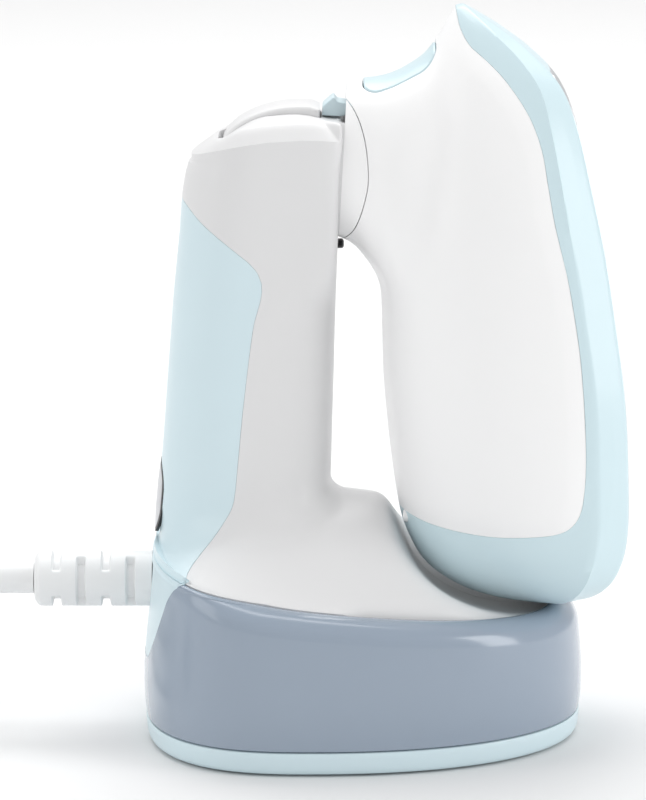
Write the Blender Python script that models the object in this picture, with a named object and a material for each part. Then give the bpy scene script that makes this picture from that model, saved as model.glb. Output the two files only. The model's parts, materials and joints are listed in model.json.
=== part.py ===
"""Handheld steamer that stands on its water tank, with its steam head folded down in front of its handle.

Lengths are in millimetres here, and add_mesh turns them into metres. +X is the side that the steam
plate faces, +Z is up, and the origin is in the middle of the footprint, on the standing surface.
"""

import math

import bmesh
import bpy
from mathutils import Matrix, Vector

MM = 0.001
GAP = 0.35  # clearance between separate pieces
SIDES = 24  # facets round a turned piece
SMALL_SIDES = 12

# Plan of the base: a superellipse half in front of BASE_X and another behind it
BASE_X = -20.0
BASE_FRONT = 68.3
BASE_REAR = 40.9
BASE_HALF = 50.0
FRONT_POWER = 2.2
REAR_POWER = 2.6
AROUND = 40  # points round the base and the handle

# Heights of the base
FOOT_HEIGHT = 0.9
BAND_TOP = 6.1
TANK_FLOOR = 8.9
CHAMBER_TOP = 24.0
CHASSIS_LOW = 25.6
CHASSIS_HIGH = 27.6
RIM_INSET = 7.6

# The head swings about an axis through the neck that dips a little towards the front
SWIVEL = Vector((-12.4, 0.0, 139.5))
SWIVEL_DIP = math.radians(3.0)
SWIVEL_AXIS = Vector((math.cos(SWIVEL_DIP), 0.0, -math.sin(SWIVEL_DIP)))
COLLAR_RADIUS = 15.4

# The handle: half width, and where its rear and front faces are at each height (z, x)
HANDLE_HALF = 18.0
HANDLE_POWER = 2.6
HANDLE_REAR = [(6.0, -60.9), (22.0, -60.5), (46.0, -58.9), (76.0, -56.1), (101.0, -53.2), (146.0, -48.8)]
HANDLE_FRONT = [(46.0, -14.9), (84.0, -13.9), (125.0, -12.9), (146.0, -12.4)]
WALL = 1.9

# The lower end of the head, and the nest in the deck that it swings through
NEST_CENTRE = (35.0, 58.0)
NEST_REACH = (33.2, 26.6)
NEST_POWER = 2.2

# Mains lead
CORD_DIAMETER = 7.8
CORD_HEIGHT = 37.8
RELIEF_END = -88.9
COIL_CENTRE = (-167.0, 51.6)
COIL_MIDDLE = 38.0
COIL_TURNS_WIDE = 3
COIL_TURNS_HIGH = 2
FLOOR_CORD = CORD_DIAMETER / 2
PLUG_AXIS = (-31.5, 18.6)  # y and z of the plug's axis
PLUG_TAIL_X = -145.0

TRIGGER_HINGE = Vector((13.4, 0.0, 166.0))
LEVER_HINGE = Vector((-26.0, 0.0, 147.0))

FINISHES = {
    "white_plastic": ((0.86, 0.87, 0.88), 0.35, 0.0),
    "light_blue_plastic": ((0.62, 0.75, 0.80), 0.3, 0.0),
    "tank_plastic": ((0.34, 0.40, 0.47), 0.2, 0.0),
    "dark_plastic": ((0.02, 0.02, 0.02), 0.4, 0.0),
    "steel": ((0.6, 0.6, 0.6), 0.3, 1.0),
    "aluminium": ((0.7, 0.7, 0.72), 0.4, 1.0),
    "rubber": ((0.75, 0.76, 0.76), 0.6, 0.0),
    "circuit_board": ((0.02, 0.2, 0.08), 0.5, 0.0),
}


def clear_scene():
    for obj in list(bpy.data.objects):
        bpy.data.objects.remove(obj)


def finish(name):
    """The material of that name, made when it is first asked for."""
    if name in bpy.data.materials:
        return bpy.data.materials[name]
    colour, roughness, metallic = FINISHES[name]
    made = bpy.data.materials.new(name)
    made.use_nodes = True
    shader = made.node_tree.nodes["Principled BSDF"]
    shader.inputs["Base Color"].default_value = (*colour, 1.0)
    shader.inputs["Roughness"].default_value = roughness
    shader.inputs["Metallic"].default_value = metallic
    return made


def add_mesh(name, points, faces, material):
    """A closed object with outward faces from points in millimetres."""
    mesh = bpy.data.meshes.new(name)
    mesh.from_pydata([Vector(p) * MM for p in points], [], faces)
    bm = bmesh.new()
    bm.from_mesh(mesh)
    bmesh.ops.recalc_face_normals(bm, faces=bm.faces)
    bm.to_mesh(mesh)
    bm.free()
    mesh.shade_smooth()
    mesh.set_sharp_from_angle(angle=math.radians(35))
    obj = bpy.data.objects.new(name, mesh)
    bpy.context.scene.collection.objects.link(obj)
    mesh.materials.append(finish(material))
    return obj


def bridge(rings, capped=True, closed=False):
    """Points and faces of a skin through rings of equal length."""
    n = len(rings[0])
    points = [p for ring in rings for p in ring]
    pairs = [(k, k + 1) for k in range(len(rings) - 1)]
    if closed:
        pairs.append((len(rings) - 1, 0))
    faces = [
        (a * n + i, a * n + (i + 1) % n, b * n + (i + 1) % n, b * n + i)
        for a, b in pairs
        for i in range(n)
    ]
    if capped:
        faces.append(tuple(reversed(range(n))))
        faces.append(tuple(range((len(rings) - 1) * n, len(rings) * n)))
    return points, faces


def skin(name, rings, material):
    return add_mesh(name, *bridge(rings), material)


def across(axis):
    """Two directions square to an axis."""
    axis = Vector(axis).normalized()
    side = axis.cross(Vector((0, 0, 1)))
    if side.length < 0.1:
        side = axis.cross(Vector((0, 1, 0)))
    side.normalize()
    return side, side.cross(axis)


def circle(centre, axis, radius, sides):
    side, up = across(axis)
    return [
        Vector(centre)
        + side * (radius * math.cos(2 * math.pi * i / sides))
        + up * (radius * math.sin(2 * math.pi * i / sides))
        for i in range(sides)
    ]


def rod(name, start, axis, steps, material, sides=SIDES):
    """A solid turned about an axis. Steps are (distance from start, radius)."""
    axis = Vector(axis).normalized()
    rings = [circle(Vector(start) + axis * d, axis, r, sides) for d, r in steps]
    return skin(name, rings, material)


def ring(name, start, axis, profile, material, sides=SIDES):
    """A turned ring. The profile is a closed loop of (distance from start, radius)."""
    axis = Vector(axis).normalized()
    rings = [circle(Vector(start) + axis * d, axis, r, sides) for d, r in profile]
    return add_mesh(name, *bridge(rings, capped=False, closed=True), material)


def washer(name, start, axis, length, outer, inner, material, sides=SIDES):
    profile = [(0, inner), (0, outer), (length, outer), (length, inner)]
    return ring(name, start, axis, profile, material, sides)


def box(name, low, high, material):
    (x0, y0, z0), (x1, y1, z1) = low, high
    rings = [[(x0, y0, z), (x1, y0, z), (x1, y1, z), (x0, y1, z)] for z in (z0, z1)]
    return skin(name, rings, material)


def side_prism(name, outline, y0, y1, material):
    """An outline of (x, z) points, extruded from y0 to y1."""
    return skin(name, [[(x, y, z) for x, z in outline] for y in (y0, y1)], material)


def front_prism(name, outline, x0, x1, material):
    """An outline of (y, z) points, extruded from x0 to x1."""
    return skin(name, [[(x, y, z) for y, z in outline] for x in (x0, x1)], material)


def top_prism(name, outline, z0, z1, material):
    """An outline of (x, y) points, extruded from z0 to z1."""
    return skin(name, [[(x, y, z) for x, y in outline] for z in (z0, z1)], material)


def rounded(half_a, half_b, radius, steps=4):
    """A rectangle's outline with round corners, about its own centre."""
    corners = [(1, 1, 0), (-1, 1, 1), (-1, -1, 2), (1, -1, 3)]
    points = []
    for sa, sb, quarter in corners:
        for k in range(steps + 1):
            turn = math.pi / 2 * (quarter + k / steps)
            a = sa * (half_a - radius) + radius * math.cos(turn)
            b = sb * (half_b - radius) + radius * math.sin(turn)
            points.append((a, b))
    return points


def smooth_curve(points, step):
    """Points about a step apart on a Catmull-Rom curve through the points given."""
    knots = [Vector(p) for p in points]
    knots = [2 * knots[0] - knots[1], *knots, 2 * knots[-1] - knots[-2]]
    made = []
    for a, b, c, d in zip(knots, knots[1:], knots[2:], knots[3:]):
        count = max(1, round((c - b).length / step))
        for k in range(count):
            t = k / count
            made.append(
                0.5 * (2 * b + (c - a) * t + (2 * a - 5 * b + 4 * c - d) * t**2 + (3 * b - a - 3 * c + d) * t**3)
            )
    return [*made, knots[-2]]


def tube(name, points, radius, material, resolution=2):
    """A filled tube along points, as a curve object with a round bevel."""
    curve = bpy.data.curves.new(name, "CURVE")
    curve.dimensions = "3D"
    curve.bevel_depth = radius * MM
    curve.bevel_resolution = resolution
    curve.use_fill_caps = True
    spline = curve.splines.new("POLY")
    spline.points.add(len(points) - 1)
    for place, point in zip(spline.points, points):
        place.co = (*(Vector(point) * MM), 1.0)
    curve.materials.append(finish(material))
    obj = bpy.data.objects.new(name, curve)
    bpy.context.scene.collection.objects.link(obj)
    return obj


def duplicate(obj, name, shift=(0, 0, 0)):
    copy = obj.copy()
    copy.data = obj.data.copy()
    copy.name = name
    copy.data.transform(Matrix.Translation(Vector(shift) * MM))
    bpy.context.scene.collection.objects.link(copy)
    return copy


def combine(target, tool, operation, solver="EXACT"):
    """Boolean the tool into the target, then put the result into the target's own mesh."""
    modifier = target.modifiers.new("Boolean", "BOOLEAN")
    modifier.operation = operation
    modifier.object = tool
    modifier.solver = solver
    settle(target)
    bpy.data.objects.remove(tool)


def settle(obj):
    """Replace an object's mesh with what its modifiers make of it."""
    graph = bpy.context.evaluated_depsgraph_get()
    mesh = bpy.data.meshes.new_from_object(obj.evaluated_get(graph))
    obj.modifiers.clear()
    obj.data = mesh
    bm = bmesh.new()
    bm.from_mesh(mesh)
    bmesh.ops.remove_doubles(bm, verts=bm.verts, dist=0.02 * MM)
    bmesh.ops.dissolve_degenerate(bm, edges=bm.edges, dist=0.01 * MM)
    bm.to_mesh(mesh)
    bm.free()


def cut(target, tool, solver="EXACT"):
    combine(target, tool, "DIFFERENCE", solver)


def keep_inside(target, tool, solver="EXACT"):
    combine(target, tool, "INTERSECT", solver)


def join(target, tool, solver="EXACT"):
    combine(target, tool, "UNION", solver)


def between(table, at):
    """Linear reading of a table of (at, value) pairs."""
    if at <= table[0][0]:
        return table[0][1]
    for (a, va), (b, vb) in zip(table, table[1:]):
        if at <= b:
            return va + (vb - va) * (at - a) / (b - a)
    return table[-1][1]


def power_point(turn, front, rear, half, front_power, rear_power):
    """A point on an outline of two superellipse halves about the origin."""
    c, s = math.cos(turn), math.sin(turn)
    power = front_power if c >= 0 else rear_power
    reach = front if c >= 0 else rear
    x = math.copysign(reach * abs(c) ** (2 / power), c)
    y = math.copysign(half * abs(s) ** (2 / power), s)
    return x, y


def turns(count=AROUND):
    return [2 * math.pi * i / count for i in range(count)]


def plan(turn, inset):
    x, y = power_point(turn, BASE_FRONT - inset, BASE_REAR - inset, BASE_HALF - inset, FRONT_POWER, REAR_POWER)
    return BASE_X + x, y


def plan_ring(inset, z):
    return [(*plan(t, inset), z) for t in turns()]


def smooth_least(a, b, blend):
    """The lesser of two values, rounded where they cross."""
    h = max(blend - abs(a - b), 0.0) / blend
    return min(a, b) - h * h * blend / 4


def nest_height(x, y):
    """Height of the hollow that the lower end of the head swings through."""
    u = abs(x - NEST_CENTRE[0]) / NEST_REACH[0] if x < NEST_CENTRE[0] else 0.0
    if u >= 1:
        return NEST_CENTRE[1] + 4.0 * (NEST_CENTRE[0] - NEST_REACH[0] - x)
    low = NEST_CENTRE[1] - NEST_REACH[1] * (1 - u**NEST_POWER) ** (1 / NEST_POWER)
    reach = SWIVEL.z - low
    return SWIVEL.z - math.sqrt(max(reach**2 - y**2, 0.0))


def deck_height(x, y):
    """Height of the white deck: a dome that falls to the rim, with the nest in its front."""
    rim = 33.6 + 0.1 * (41.0 - x) + 0.0017 * max(0.0, -15.0 - x) ** 2
    half = BASE_HALF - RIM_INSET
    if x < BASE_X:
        a = (BASE_X - x) / (BASE_REAR - 1.9)
        q = (a**REAR_POWER + (abs(y) / half) ** REAR_POWER) ** (1 / REAR_POWER)
    else:
        a = min((x - BASE_X) / (BASE_FRONT - RIM_INSET), 1.0)
        q = abs(y) / (half * (1 - a**FRONT_POWER) ** (1 / FRONT_POWER) + 0.01)
    crest = 59.4 - 0.1 * x
    dome = rim + (crest - rim) * max(0.0, 1 - min(q, 1.0) ** 2) ** 1.2
    return smooth_least(dome, nest_height(x, y), 3.0)


def rim_point(turn, inset=0.0):
    """The deck's edge. Behind, it comes out flush with the tank's wall."""
    behind = max(0.0, -math.cos(turn))
    flush = min(max((behind - 0.8) / 0.13, 0.0), 1.0)
    return plan(turn, RIM_INSET + inset - flush * (RIM_INSET - 1.9))


def handle_point(turn, z, inset=0.0):
    rear = between(HANDLE_REAR, z) + inset
    front = between(HANDLE_FRONT, z) - inset
    x, y = power_point(turn, 0.5, 0.5, HANDLE_HALF - inset, HANDLE_POWER, HANDLE_POWER)
    return rear + (front - rear) * (x + 0.5), y


def body_rings(inset=0.0):
    """Rings of the white body, from the skirt in the tank's mouth to the top. With an inset, of its hollow."""
    drop = 1.3 * inset  # the deck's slopes thin its wall
    skirt = RIM_INSET + 0.8 + inset
    rings = [
        [(*plan(t, skirt), CHASSIS_LOW - 2 * drop) for t in turns()],
        [(*plan(t, skirt - 0.2), deck_height(*plan(t, RIM_INSET)) - 3.0 - drop) for t in turns()],
    ]
    deck_steps = 13
    for k in range(deck_steps + 1):
        s = k / deck_steps
        ring_points = []
        for t in turns():
            rx, ry = rim_point(t, inset)
            hx, hy = handle_point(t, 62.0, inset)
            x, y = rx + (hx - rx) * s, ry + (hy - ry) * s
            away = (1 - s) * math.hypot(hx - rx, hy - ry)
            corner = 3.0 + 6.0 * abs(math.sin(t))
            lift = corner - math.sqrt(corner**2 - (corner - away) ** 2) if away < corner else 0.0
            ring_points.append((x, y, deck_height(x, y) + lift - drop))
        rings.append(ring_points)
    for z in (74.0, 86.0, 100.0, 114.0, 128.0, 140.0):
        rings.append([(*handle_point(t, z, inset), z) for t in turns()])
    for step, lift in ((0.0, 0.0), (1.5, 2.6), (5.0, 5.2), (10.0, 7.0), (15.0, 7.7)):
        tops = [top_point(t, step, inset) for t in turns()]
        rings.append([(x, y, top_height(x) + lift - inset) for x, y in tops])
    return rings


def top_point(turn, step, inset):
    """A point on the ring of the handle's top that is a step in from its edge."""
    x, y = handle_point(turn, 146.0, inset)
    middle = -30.6
    share = 1 - step / HANDLE_HALF
    return middle + (x - middle) * share, y * share


def top_height(x):
    """The edge of the handle's top is a shallow arch that falls to the rear."""
    return 151.0 - 0.0065 * (x + 21.0) ** 2


def build_body():
    """The white shell in two halves and the light blue rear panel, all cut from one hollow solid."""
    body = skin("body", body_rings(), "white_plastic")
    cut(body, skin("hollow", body_rings(WALL), "white_plastic"))

    # Slot for the lock lever, bore for the swivel shaft, way in for the lead
    cut(body, box("slot", (-41.2, -8.6, 143.5), (-8.0, 8.6, 170.0), "white_plastic"))
    cut(body, rod("bore", SWIVEL - SWIVEL_AXIS * 8, SWIVEL_AXIS, [(0, 11.4), (16, 11.4)], "white_plastic"))
    cut(body, rod("entry", (-66, 0, CORD_HEIGHT), (1, 0, 0), [(0, 5.8), (22, 5.8)], "white_plastic"))

    panel = duplicate(body, "rear_panel")
    panel.data.materials.clear()
    panel.data.materials.append(finish("light_blue_plastic"))
    keep_inside(panel, side_prism("side", panel_outline(0.0), -60, 60, "white_plastic"))
    join(panel, build_tongue(), "MANIFOLD")
    cut(panel, rod("entry", (-66, 0, CORD_HEIGHT), (1, 0, 0), [(0, 5.8), (22, 5.8)], "white_plastic"))
    window = [(y, z + BUTTON_Z) for y, z in rounded(6.2, 10.2, 6.1)]
    cut(panel, front_prism("window", window, -66, -45, "white_plastic"))

    cut(body, side_prism("side", panel_outline(GAP), -60, 60, "white_plastic"))
    right = duplicate(body, "body_shell_right")
    body.name = "body_shell_left"
    cut(body, box("half", (-70, -0.15, 0), (60, 60, 180), "white_plastic"), "MANIFOLD")
    cut(right, box("half", (-70, -60, 0), (60, 0.15, 180), "white_plastic"), "MANIFOLD")


BUTTON_Z = 58.4


def panel_outline(grow):
    """Side view of what the rear panel takes from the skin."""
    return [
        (-70.0, 141.0 + grow),
        (-52.0 + grow, 135.5 + grow),
        (-45.9 + grow, 129.6 + grow),
        (-34.0 + grow, 120.4 + grow),
        (-31.4 + grow, 115.4 + grow),
        (-33.6 + grow, 104.0),
        (-36.0 + grow, 84.8),
        (-38.4 + grow, 61.5),
        (-41.0 + grow, 55.8),
        (-45.0 + grow, 50.0),
        (-51.8 + grow, 44.5 - grow),
        (-70.0, 41.0 - grow),
    ]


def notch_outline(grow):
    """Rear view of the notch in the tank that the rear panel's tongue fills."""
    half = [(30.0 + grow, 60.0), (29.0 + grow, 44.0), (24.0 + grow, 34.0), (17.0 + grow, 26.0 - grow)]
    half += [(9.0 + grow / 2, 21.0 - grow), (0.0, 19.8 - grow)]
    return half + [(-y, z) for y, z in reversed(half[:-1])]


def base_rings(top_inset, top):
    """The tank's outer form, up to the height given."""
    return [plan_ring(0.0, BAND_TOP + GAP), plan_ring(0.2, 18.0), plan_ring(top_inset, top)]


def build_tongue():
    tongue = skin("tongue", base_rings(1.9, 50.0), "light_blue_plastic")
    keep_inside(tongue, front_prism("notch", notch_outline(-GAP), -64, -54.0, "light_blue_plastic"))
    cut(tongue, box("above", (-70, -40, 46.5), (-40, 40, 60), "light_blue_plastic"))
    return tongue


def tank_lip(turn, inset, drop):
    """A point on the tank's rounded shoulder, below the rim of the deck."""
    return (*plan(turn, inset), deck_height(*plan(turn, RIM_INSET)) - drop)


def build_tank():
    rings = [plan_ring(0.0, BAND_TOP + GAP), plan_ring(0.1, 14.0), plan_ring(0.5, 22.0)]
    for inset, drop in ((1.0, 4.6), (2.6, 1.8), (5.0, 0.5), (RIM_INSET - 0.4, 0.0)):
        rings.append([tank_lip(t, inset, drop) for t in turns()])
    tank = skin("water_tank", rings, "tank_plastic")
    mouth = [plan_ring(RIM_INSET - 0.4, CHAMBER_TOP), plan_ring(RIM_INSET - 0.4, 70.0)]
    cut(tank, skin("mouth", mouth, "tank_plastic"))
    chamber = skin("chamber", [plan_ring(3.0, TANK_FLOOR), plan_ring(3.0, CHAMBER_TOP - 3.0), plan_ring(7.2, 24.6)],
                   "tank_plastic")
    keep_inside(chamber, box("front_part", (-46, -60, 0), (60, 60, 40), "tank_plastic"))
    cut(tank, chamber)
    cut(tank, front_prism("notch", notch_outline(GAP), -70, -52.9, "tank_plastic"))
    cut(tank, box("lip_gap", (-70, -30.4, 38.0), (-44, 30.4, 70), "tank_plastic"))


def build_tank_base():
    steps = ((FOOT_HEIGHT, 4.2), (1.3, 2.6), (2.6, 1.2), (4.4, 0.4), (BAND_TOP, 0.1))
    base = skin("tank_base", [plan_ring(inset, z) for z, inset in steps], "light_blue_plastic")
    for k, (x, y) in enumerate(foot_places(), 1):
        cut(base, rod("pocket", (x, y, 0), (0, 0, 1), [(0, 5.4), (3.4, 5.4)], "rubber", SMALL_SIDES))
        rod(f"foot_{k}", (x, y, 0), (0, 0, 1), [(0, 4.6), (0.4, 5.0), (3.05, 5.0)], "rubber", SMALL_SIDES)


def foot_places():
    return [(28.0, -22.0), (28.0, 22.0), (-44.0, -26.0), (-44.0, 26.0)]


def build_chassis():
    """The plate that closes the body from below, with a bore for the suction tube."""
    rings = [plan_ring(RIM_INSET + 3.2, z) for z in (CHASSIS_LOW, CHASSIS_HIGH)]
    plate = skin("chassis_plate", rings, "white_plastic")
    cut(plate, rod("bore", (-34, 0, 20), (0, 0, 1), [(0, 3.4), (12, 3.4)], "white_plastic", SMALL_SIDES))


HEAD_STATIONS = [
    # rear x, rear z, front x, front z, half width
    (26.5, 34.6, 42.5, 33.6, 9.0),
    (16.6, 38.0, 50.0, 35.6, 19.5),
    (9.2, 43.2, 55.6, 39.6, 27.0),
    (5.2, 49.6, 59.2, 46.0, 32.0),
    (3.7, 57.6, 60.7, 56.0, 35.0),
    (1.8, 73.0, 60.5, 72.6, 36.0),
    (-0.2, 91.0, 59.2, 90.0, 36.0),
    (-0.8, 107.0, 56.6, 107.5, 35.0),
    (-1.0, 122.0, 53.4, 124.0, 33.2),
    (-0.6, 138.0, 49.8, 140.0, 30.4),
    (1.0, 152.0, 46.4, 154.0, 26.4),
    (4.4, 163.4, 42.2, 163.6, 22.0),
    (8.4, 170.0, 35.3, 170.8, 17.4),
    (11.4, 174.4, 28.0, 176.4, 12.8),
    (13.8, 178.6, 22.0, 180.2, 8.2),
    (15.4, 181.6, 18.6, 182.2, 4.0),
]
HEAD_REAR_POWER = 2.2
HEAD_FRONT_POWER = 4.0
HEAD_WIDEST = 0.86  # share of the depth at which the head is widest


def head_ring(station, inset, count=32):
    xr, zr, xf, zf, half = station
    depth = math.hypot(xf - xr, zf - zr)
    points = []
    for t in turns(count):
        c, s = math.cos(t), math.sin(t)
        power = HEAD_FRONT_POWER if c >= 0 else HEAD_REAR_POWER
        reach = 1 - HEAD_WIDEST if c >= 0 else HEAD_WIDEST
        u = HEAD_WIDEST + math.copysign(reach * abs(c) ** (2 / power), c)
        u = 0.5 + (u - 0.5) * (1 - 2 * inset / depth)
        y = (half - inset) * math.copysign(abs(s) ** (2 / power), s)
        points.append((xr + (xf - xr) * u, y, zr + (zf - zr) * u))
    return points


NECK_STATIONS = [
    # x, bottom z, top z, half width
    (-9.4, 124.6, 164.6, 15.4),
    (-5.8, 119.6, 164.4, 17.4),
    (-2.4, 114.2, 164.6, 19.4),
    (2.6, 105.0, 166.4, 22.0),
    (7.6, 100.0, 169.4, 22.5),
    (14.0, 98.0, 170.0, 22.0),
]


def neck_ring(station, inset, count=24):
    x, low, high, half = station
    middle, reach = (low + high) / 2, (high - low) / 2 - inset
    points = []
    for t in turns(count):
        y, z = power_point(t, half - inset, half - inset, reach, 2.4, 2.4)
        points.append((x, y, middle + z))
    return points


def head_solid(name, inset):
    stations = HEAD_STATIONS if inset == 0 else HEAD_STATIONS[1:-2]
    head = skin(name, [head_ring(s, inset) for s in stations], "white_plastic")
    neck_stations = [(x + (inset if k == 0 else 0), *rest) for k, (x, *rest) in enumerate(NECK_STATIONS)]
    join(head, skin("neck", [neck_ring(s, inset) for s in neck_stations], "white_plastic"))
    return head


def frame_outline(grow):
    """Side view of what the light blue frame takes from the head."""
    return [
        (-20.0, 58.5 + grow),
        (2.0, 57.8 + grow),
        (9.7, 56.2 + grow),
        (26.0, 55.2 + grow),
        (40.0, 56.6 + grow),
        (45.8, 59.5 + grow),
        (47.9 - grow, 66.0),
        (47.8 - grow, 83.0),
        (45.6 - grow, 104.0),
        (39.4 - grow, 132.0),
        (36.8 - grow, 147.0),
        (33.4 - grow, 157.0),
        (27.1 - grow, 166.4),
        (20.0 - grow, 172.6),
        (16.4 - grow, 178.0),
        (15.0 - grow, 190.0),
        (80.0, 190.0),
        (80.0, 20.0),
        (-20.0, 20.0),
    ]


def plate_outline(inset):
    """Front view of the steam plate: round below and pointed like an iron above."""
    halves = [(max(half - inset, 0.5), (zr + zf) / 2) for _, zr, _, zf, half in HEAD_STATIONS]
    low, high = 33.6 + inset, 182.0 - 1.6 * inset
    halves = [(y, z) for y, z in halves if low + 1 < z < high - 1]
    halves = [(3.0, low), *halves, (2.0, high)]
    return halves + [(-y, z) for y, z in reversed(halves)]


TRIGGER_BOX = (-6.4, 11.2, 12.2)  # rear x, front x, half width


def build_head():
    """The head's shells, frame, gasket and steam plate, cut from one hollow solid."""
    outer = head_solid("outer", 0.0)
    shell = duplicate(outer, "shell")
    cut(shell, head_solid("inner", WALL))
    cut(shell, rod("neck_bore", SWIVEL, SWIVEL_AXIS, [(-1, COLLAR_RADIUS + 0.1), (8.6, COLLAR_RADIUS + 0.1)],
                   "white_plastic"))

    frame = duplicate(shell, "head_frame")
    frame.data.materials.clear()
    frame.data.materials.append(finish("light_blue_plastic"))
    keep_inside(frame, side_prism("side", frame_outline(0.0), -60, 60, "white_plastic"))
    cut(frame, front_prism("window", plate_outline(6.0), 20, 80, "white_plastic"))

    front = duplicate(outer, "steam_plate")
    front.data.materials.clear()
    front.data.materials.append(finish("aluminium"))
    cut(front, duplicate(outer, "behind", (-3.0, 0, 0)))
    keep_inside(front, front_prism("window", plate_outline(6.0 + GAP), 20, 80, "aluminium"))
    for y, z in steam_holes():
        cut(front, rod("hole", (30, y, z), (1, 0, 0), [(0, 1.4), (40, 1.4)], "aluminium", 8))

    gasket = duplicate(outer, "plate_gasket", (-3.35, 0, 0))
    gasket.data.materials.clear()
    gasket.data.materials.append(finish("dark_plastic"))
    cut(gasket, duplicate(outer, "behind", (-4.9, 0, 0)))
    keep_inside(gasket, front_prism("window", plate_outline(6.0 + GAP), 20, 80, "aluminium"))
    cut(gasket, front_prism("window", plate_outline(10.0), 20, 80, "aluminium"))

    cut(shell, side_prism("side", frame_outline(GAP), -60, 60, "white_plastic"))
    build_trigger(outer, shell)
    right = duplicate(shell, "head_shell_right")
    shell.name = "head_shell_left"
    cut(shell, box("half", (-70, -0.15, 0), (70, 60, 190), "white_plastic"))
    cut(right, box("half", (-70, -60, 0), (70, 0.15, 190), "white_plastic"))
    bpy.data.objects.remove(outer)


def steam_holes():
    rows = [(72.0, 2), (90.0, 3), (108.0, 2), (126.0, 3), (144.0, 2)]
    return [((k - (count - 1) / 2) * 16.0, z) for z, count in rows for k in range(count)]


def build_trigger(outer, shell):
    """The trigger is the part of the head's surface above a rounded opening."""
    rear, front, half = TRIGGER_BOX
    middle, reach = (rear + front) / 2, (front - rear) / 2
    trigger = duplicate(outer, "trigger")
    trigger.data.materials.clear()
    trigger.data.materials.append(finish("light_blue_plastic"))
    outline = [(middle + x, y) for x, y in rounded(reach, half, 4.0)]
    keep_inside(trigger, top_prism("opening", outline, 156, 190, "light_blue_plastic"))
    cut(trigger, duplicate(outer, "below", (0, 0, -4.0)))
    wider = [(middle + x, y) for x, y in rounded(reach + GAP, half + GAP, 4.0 + GAP)]
    cut(shell, top_prism("opening", wider, 150, 190, "white_plastic"))


def build_swivel():
    axis = SWIVEL_AXIS
    at = lambda d: SWIVEL + axis * d
    washer("neck_collar", at(1.3), axis, 7.0, COLLAR_RADIUS - 0.25, 8.6, "white_plastic")
    ring("swivel_shaft", at(-10.6), axis,
         [(0, 5.6), (0, 8.2), (21.0, 8.2), (21.0, 11.6), (22.8, 11.6), (22.8, 5.6)], "steel")
    ring("swivel_bushing", at(-6.0), axis,
         [(0, 8.6), (0, 10.4), (0.6, 11.0), (6.2, 11.0), (6.2, 8.6)], "dark_plastic")
    washer("wave_washer", at(-7.6), axis, 1.1, 11.5, 8.6, "steel")
    washer("retaining_ring", at(-9.4), axis, 1.3, 10.6, 8.5, "steel")
    box("stop_bumper", (-12.6, -2.4, 121.4), (-11.6, 2.4, 123.4), "dark_plastic")


def build_lock():
    """A rocker in the handle's top, with the latch tooth at its front."""
    dome = [(-40.6, 147.4), (-40.4, 149.6), (-37.1, 152.8), (-32.8, 156.0), (-27.6, 158.2), (-22.1, 158.8),
            (-17.6, 158.5), (-17.4, 155.4), (-26.0, 150.6), (-38.0, 146.6)]
    side_prism("lock_lever", dome, -8.1, 8.1, "white_plastic")
    tooth = [(-17.0, 156.6), (-16.9, 158.6), (-13.9, 160.6), (-13.0, 159.4), (-10.4, 158.6), (-9.6, 157.3)]
    side_prism("lock_latch", tooth, -5.0, 5.0, "light_blue_plastic")
    rod("lock_pin", (LEVER_HINGE.x, -11.0, LEVER_HINGE.z), (0, 1, 0), [(0, 1.5), (22, 1.5)], "steel", SMALL_SIDES)
    coil_spring("lock_spring", (-35.5, 0, 139.0), 5.6, 2.2, 4)


def coil_spring(name, low, height, radius, count):
    """A compression spring that stands on the point given."""
    steps = 9 * count
    points = []
    for k in range(steps + 1):
        turn = 2 * math.pi * k / 9
        x, y = low[0] + radius * math.cos(turn), low[1] + radius * math.sin(turn)
        points.append((x, y, low[2] + height * k / steps))
    return tube(name, points, 0.45, "steel", 1)


def build_button():
    """The power button in its bezel, and the switch that it presses."""
    bezel = front_prism("power_bezel", oval(5.9, 9.9), -59.6, -55.0, "dark_plastic")
    cut(bezel, front_prism("hole", oval(4.1, 8.1), -66, -45, "dark_plastic"))
    front_prism("power_button", oval(3.7, 7.7), -59.0, -53.4, "aluminium")
    box("power_switch", (-51.2, -4.5, BUTTON_Z - 6.5), (-44.0, 4.5, BUTTON_Z + 6.5), "dark_plastic")


def oval(half_y, half_z):
    return [(y, z + BUTTON_Z) for y, z in rounded(half_y, half_z, half_y - 0.1)]


def build_electrics():
    box("control_board", (-43.6, -11.0, 80.0), (-42.0, 11.0, 128.0), "circuit_board")
    box("relay", (-41.6, -5.5, 86.0), (-32.0, 5.5, 100.0), "dark_plastic")
    rod("capacitor", (-41.6, 0.0, 108.0), (1, 0, 0), [(0, 4.5), (7.0, 4.5)], "dark_plastic", SMALL_SIDES)
    box("terminal_block", (-46.0, -9.0, 28.0), (-38.5, 9.0, 35.0), "white_plastic")
    box("cord_clamp", (-46.0, -10.0, 35.4), (-39.0, 10.0, 44.0), "dark_plastic")
    for k, y in enumerate((-7.4, 7.4), 1):
        rod(f"clamp_screw_{k}", (-42.5, y, 44.3), (0, 0, 1), [(0, 2.6), (1.8, 2.6)], "steel", SMALL_SIDES)


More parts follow.
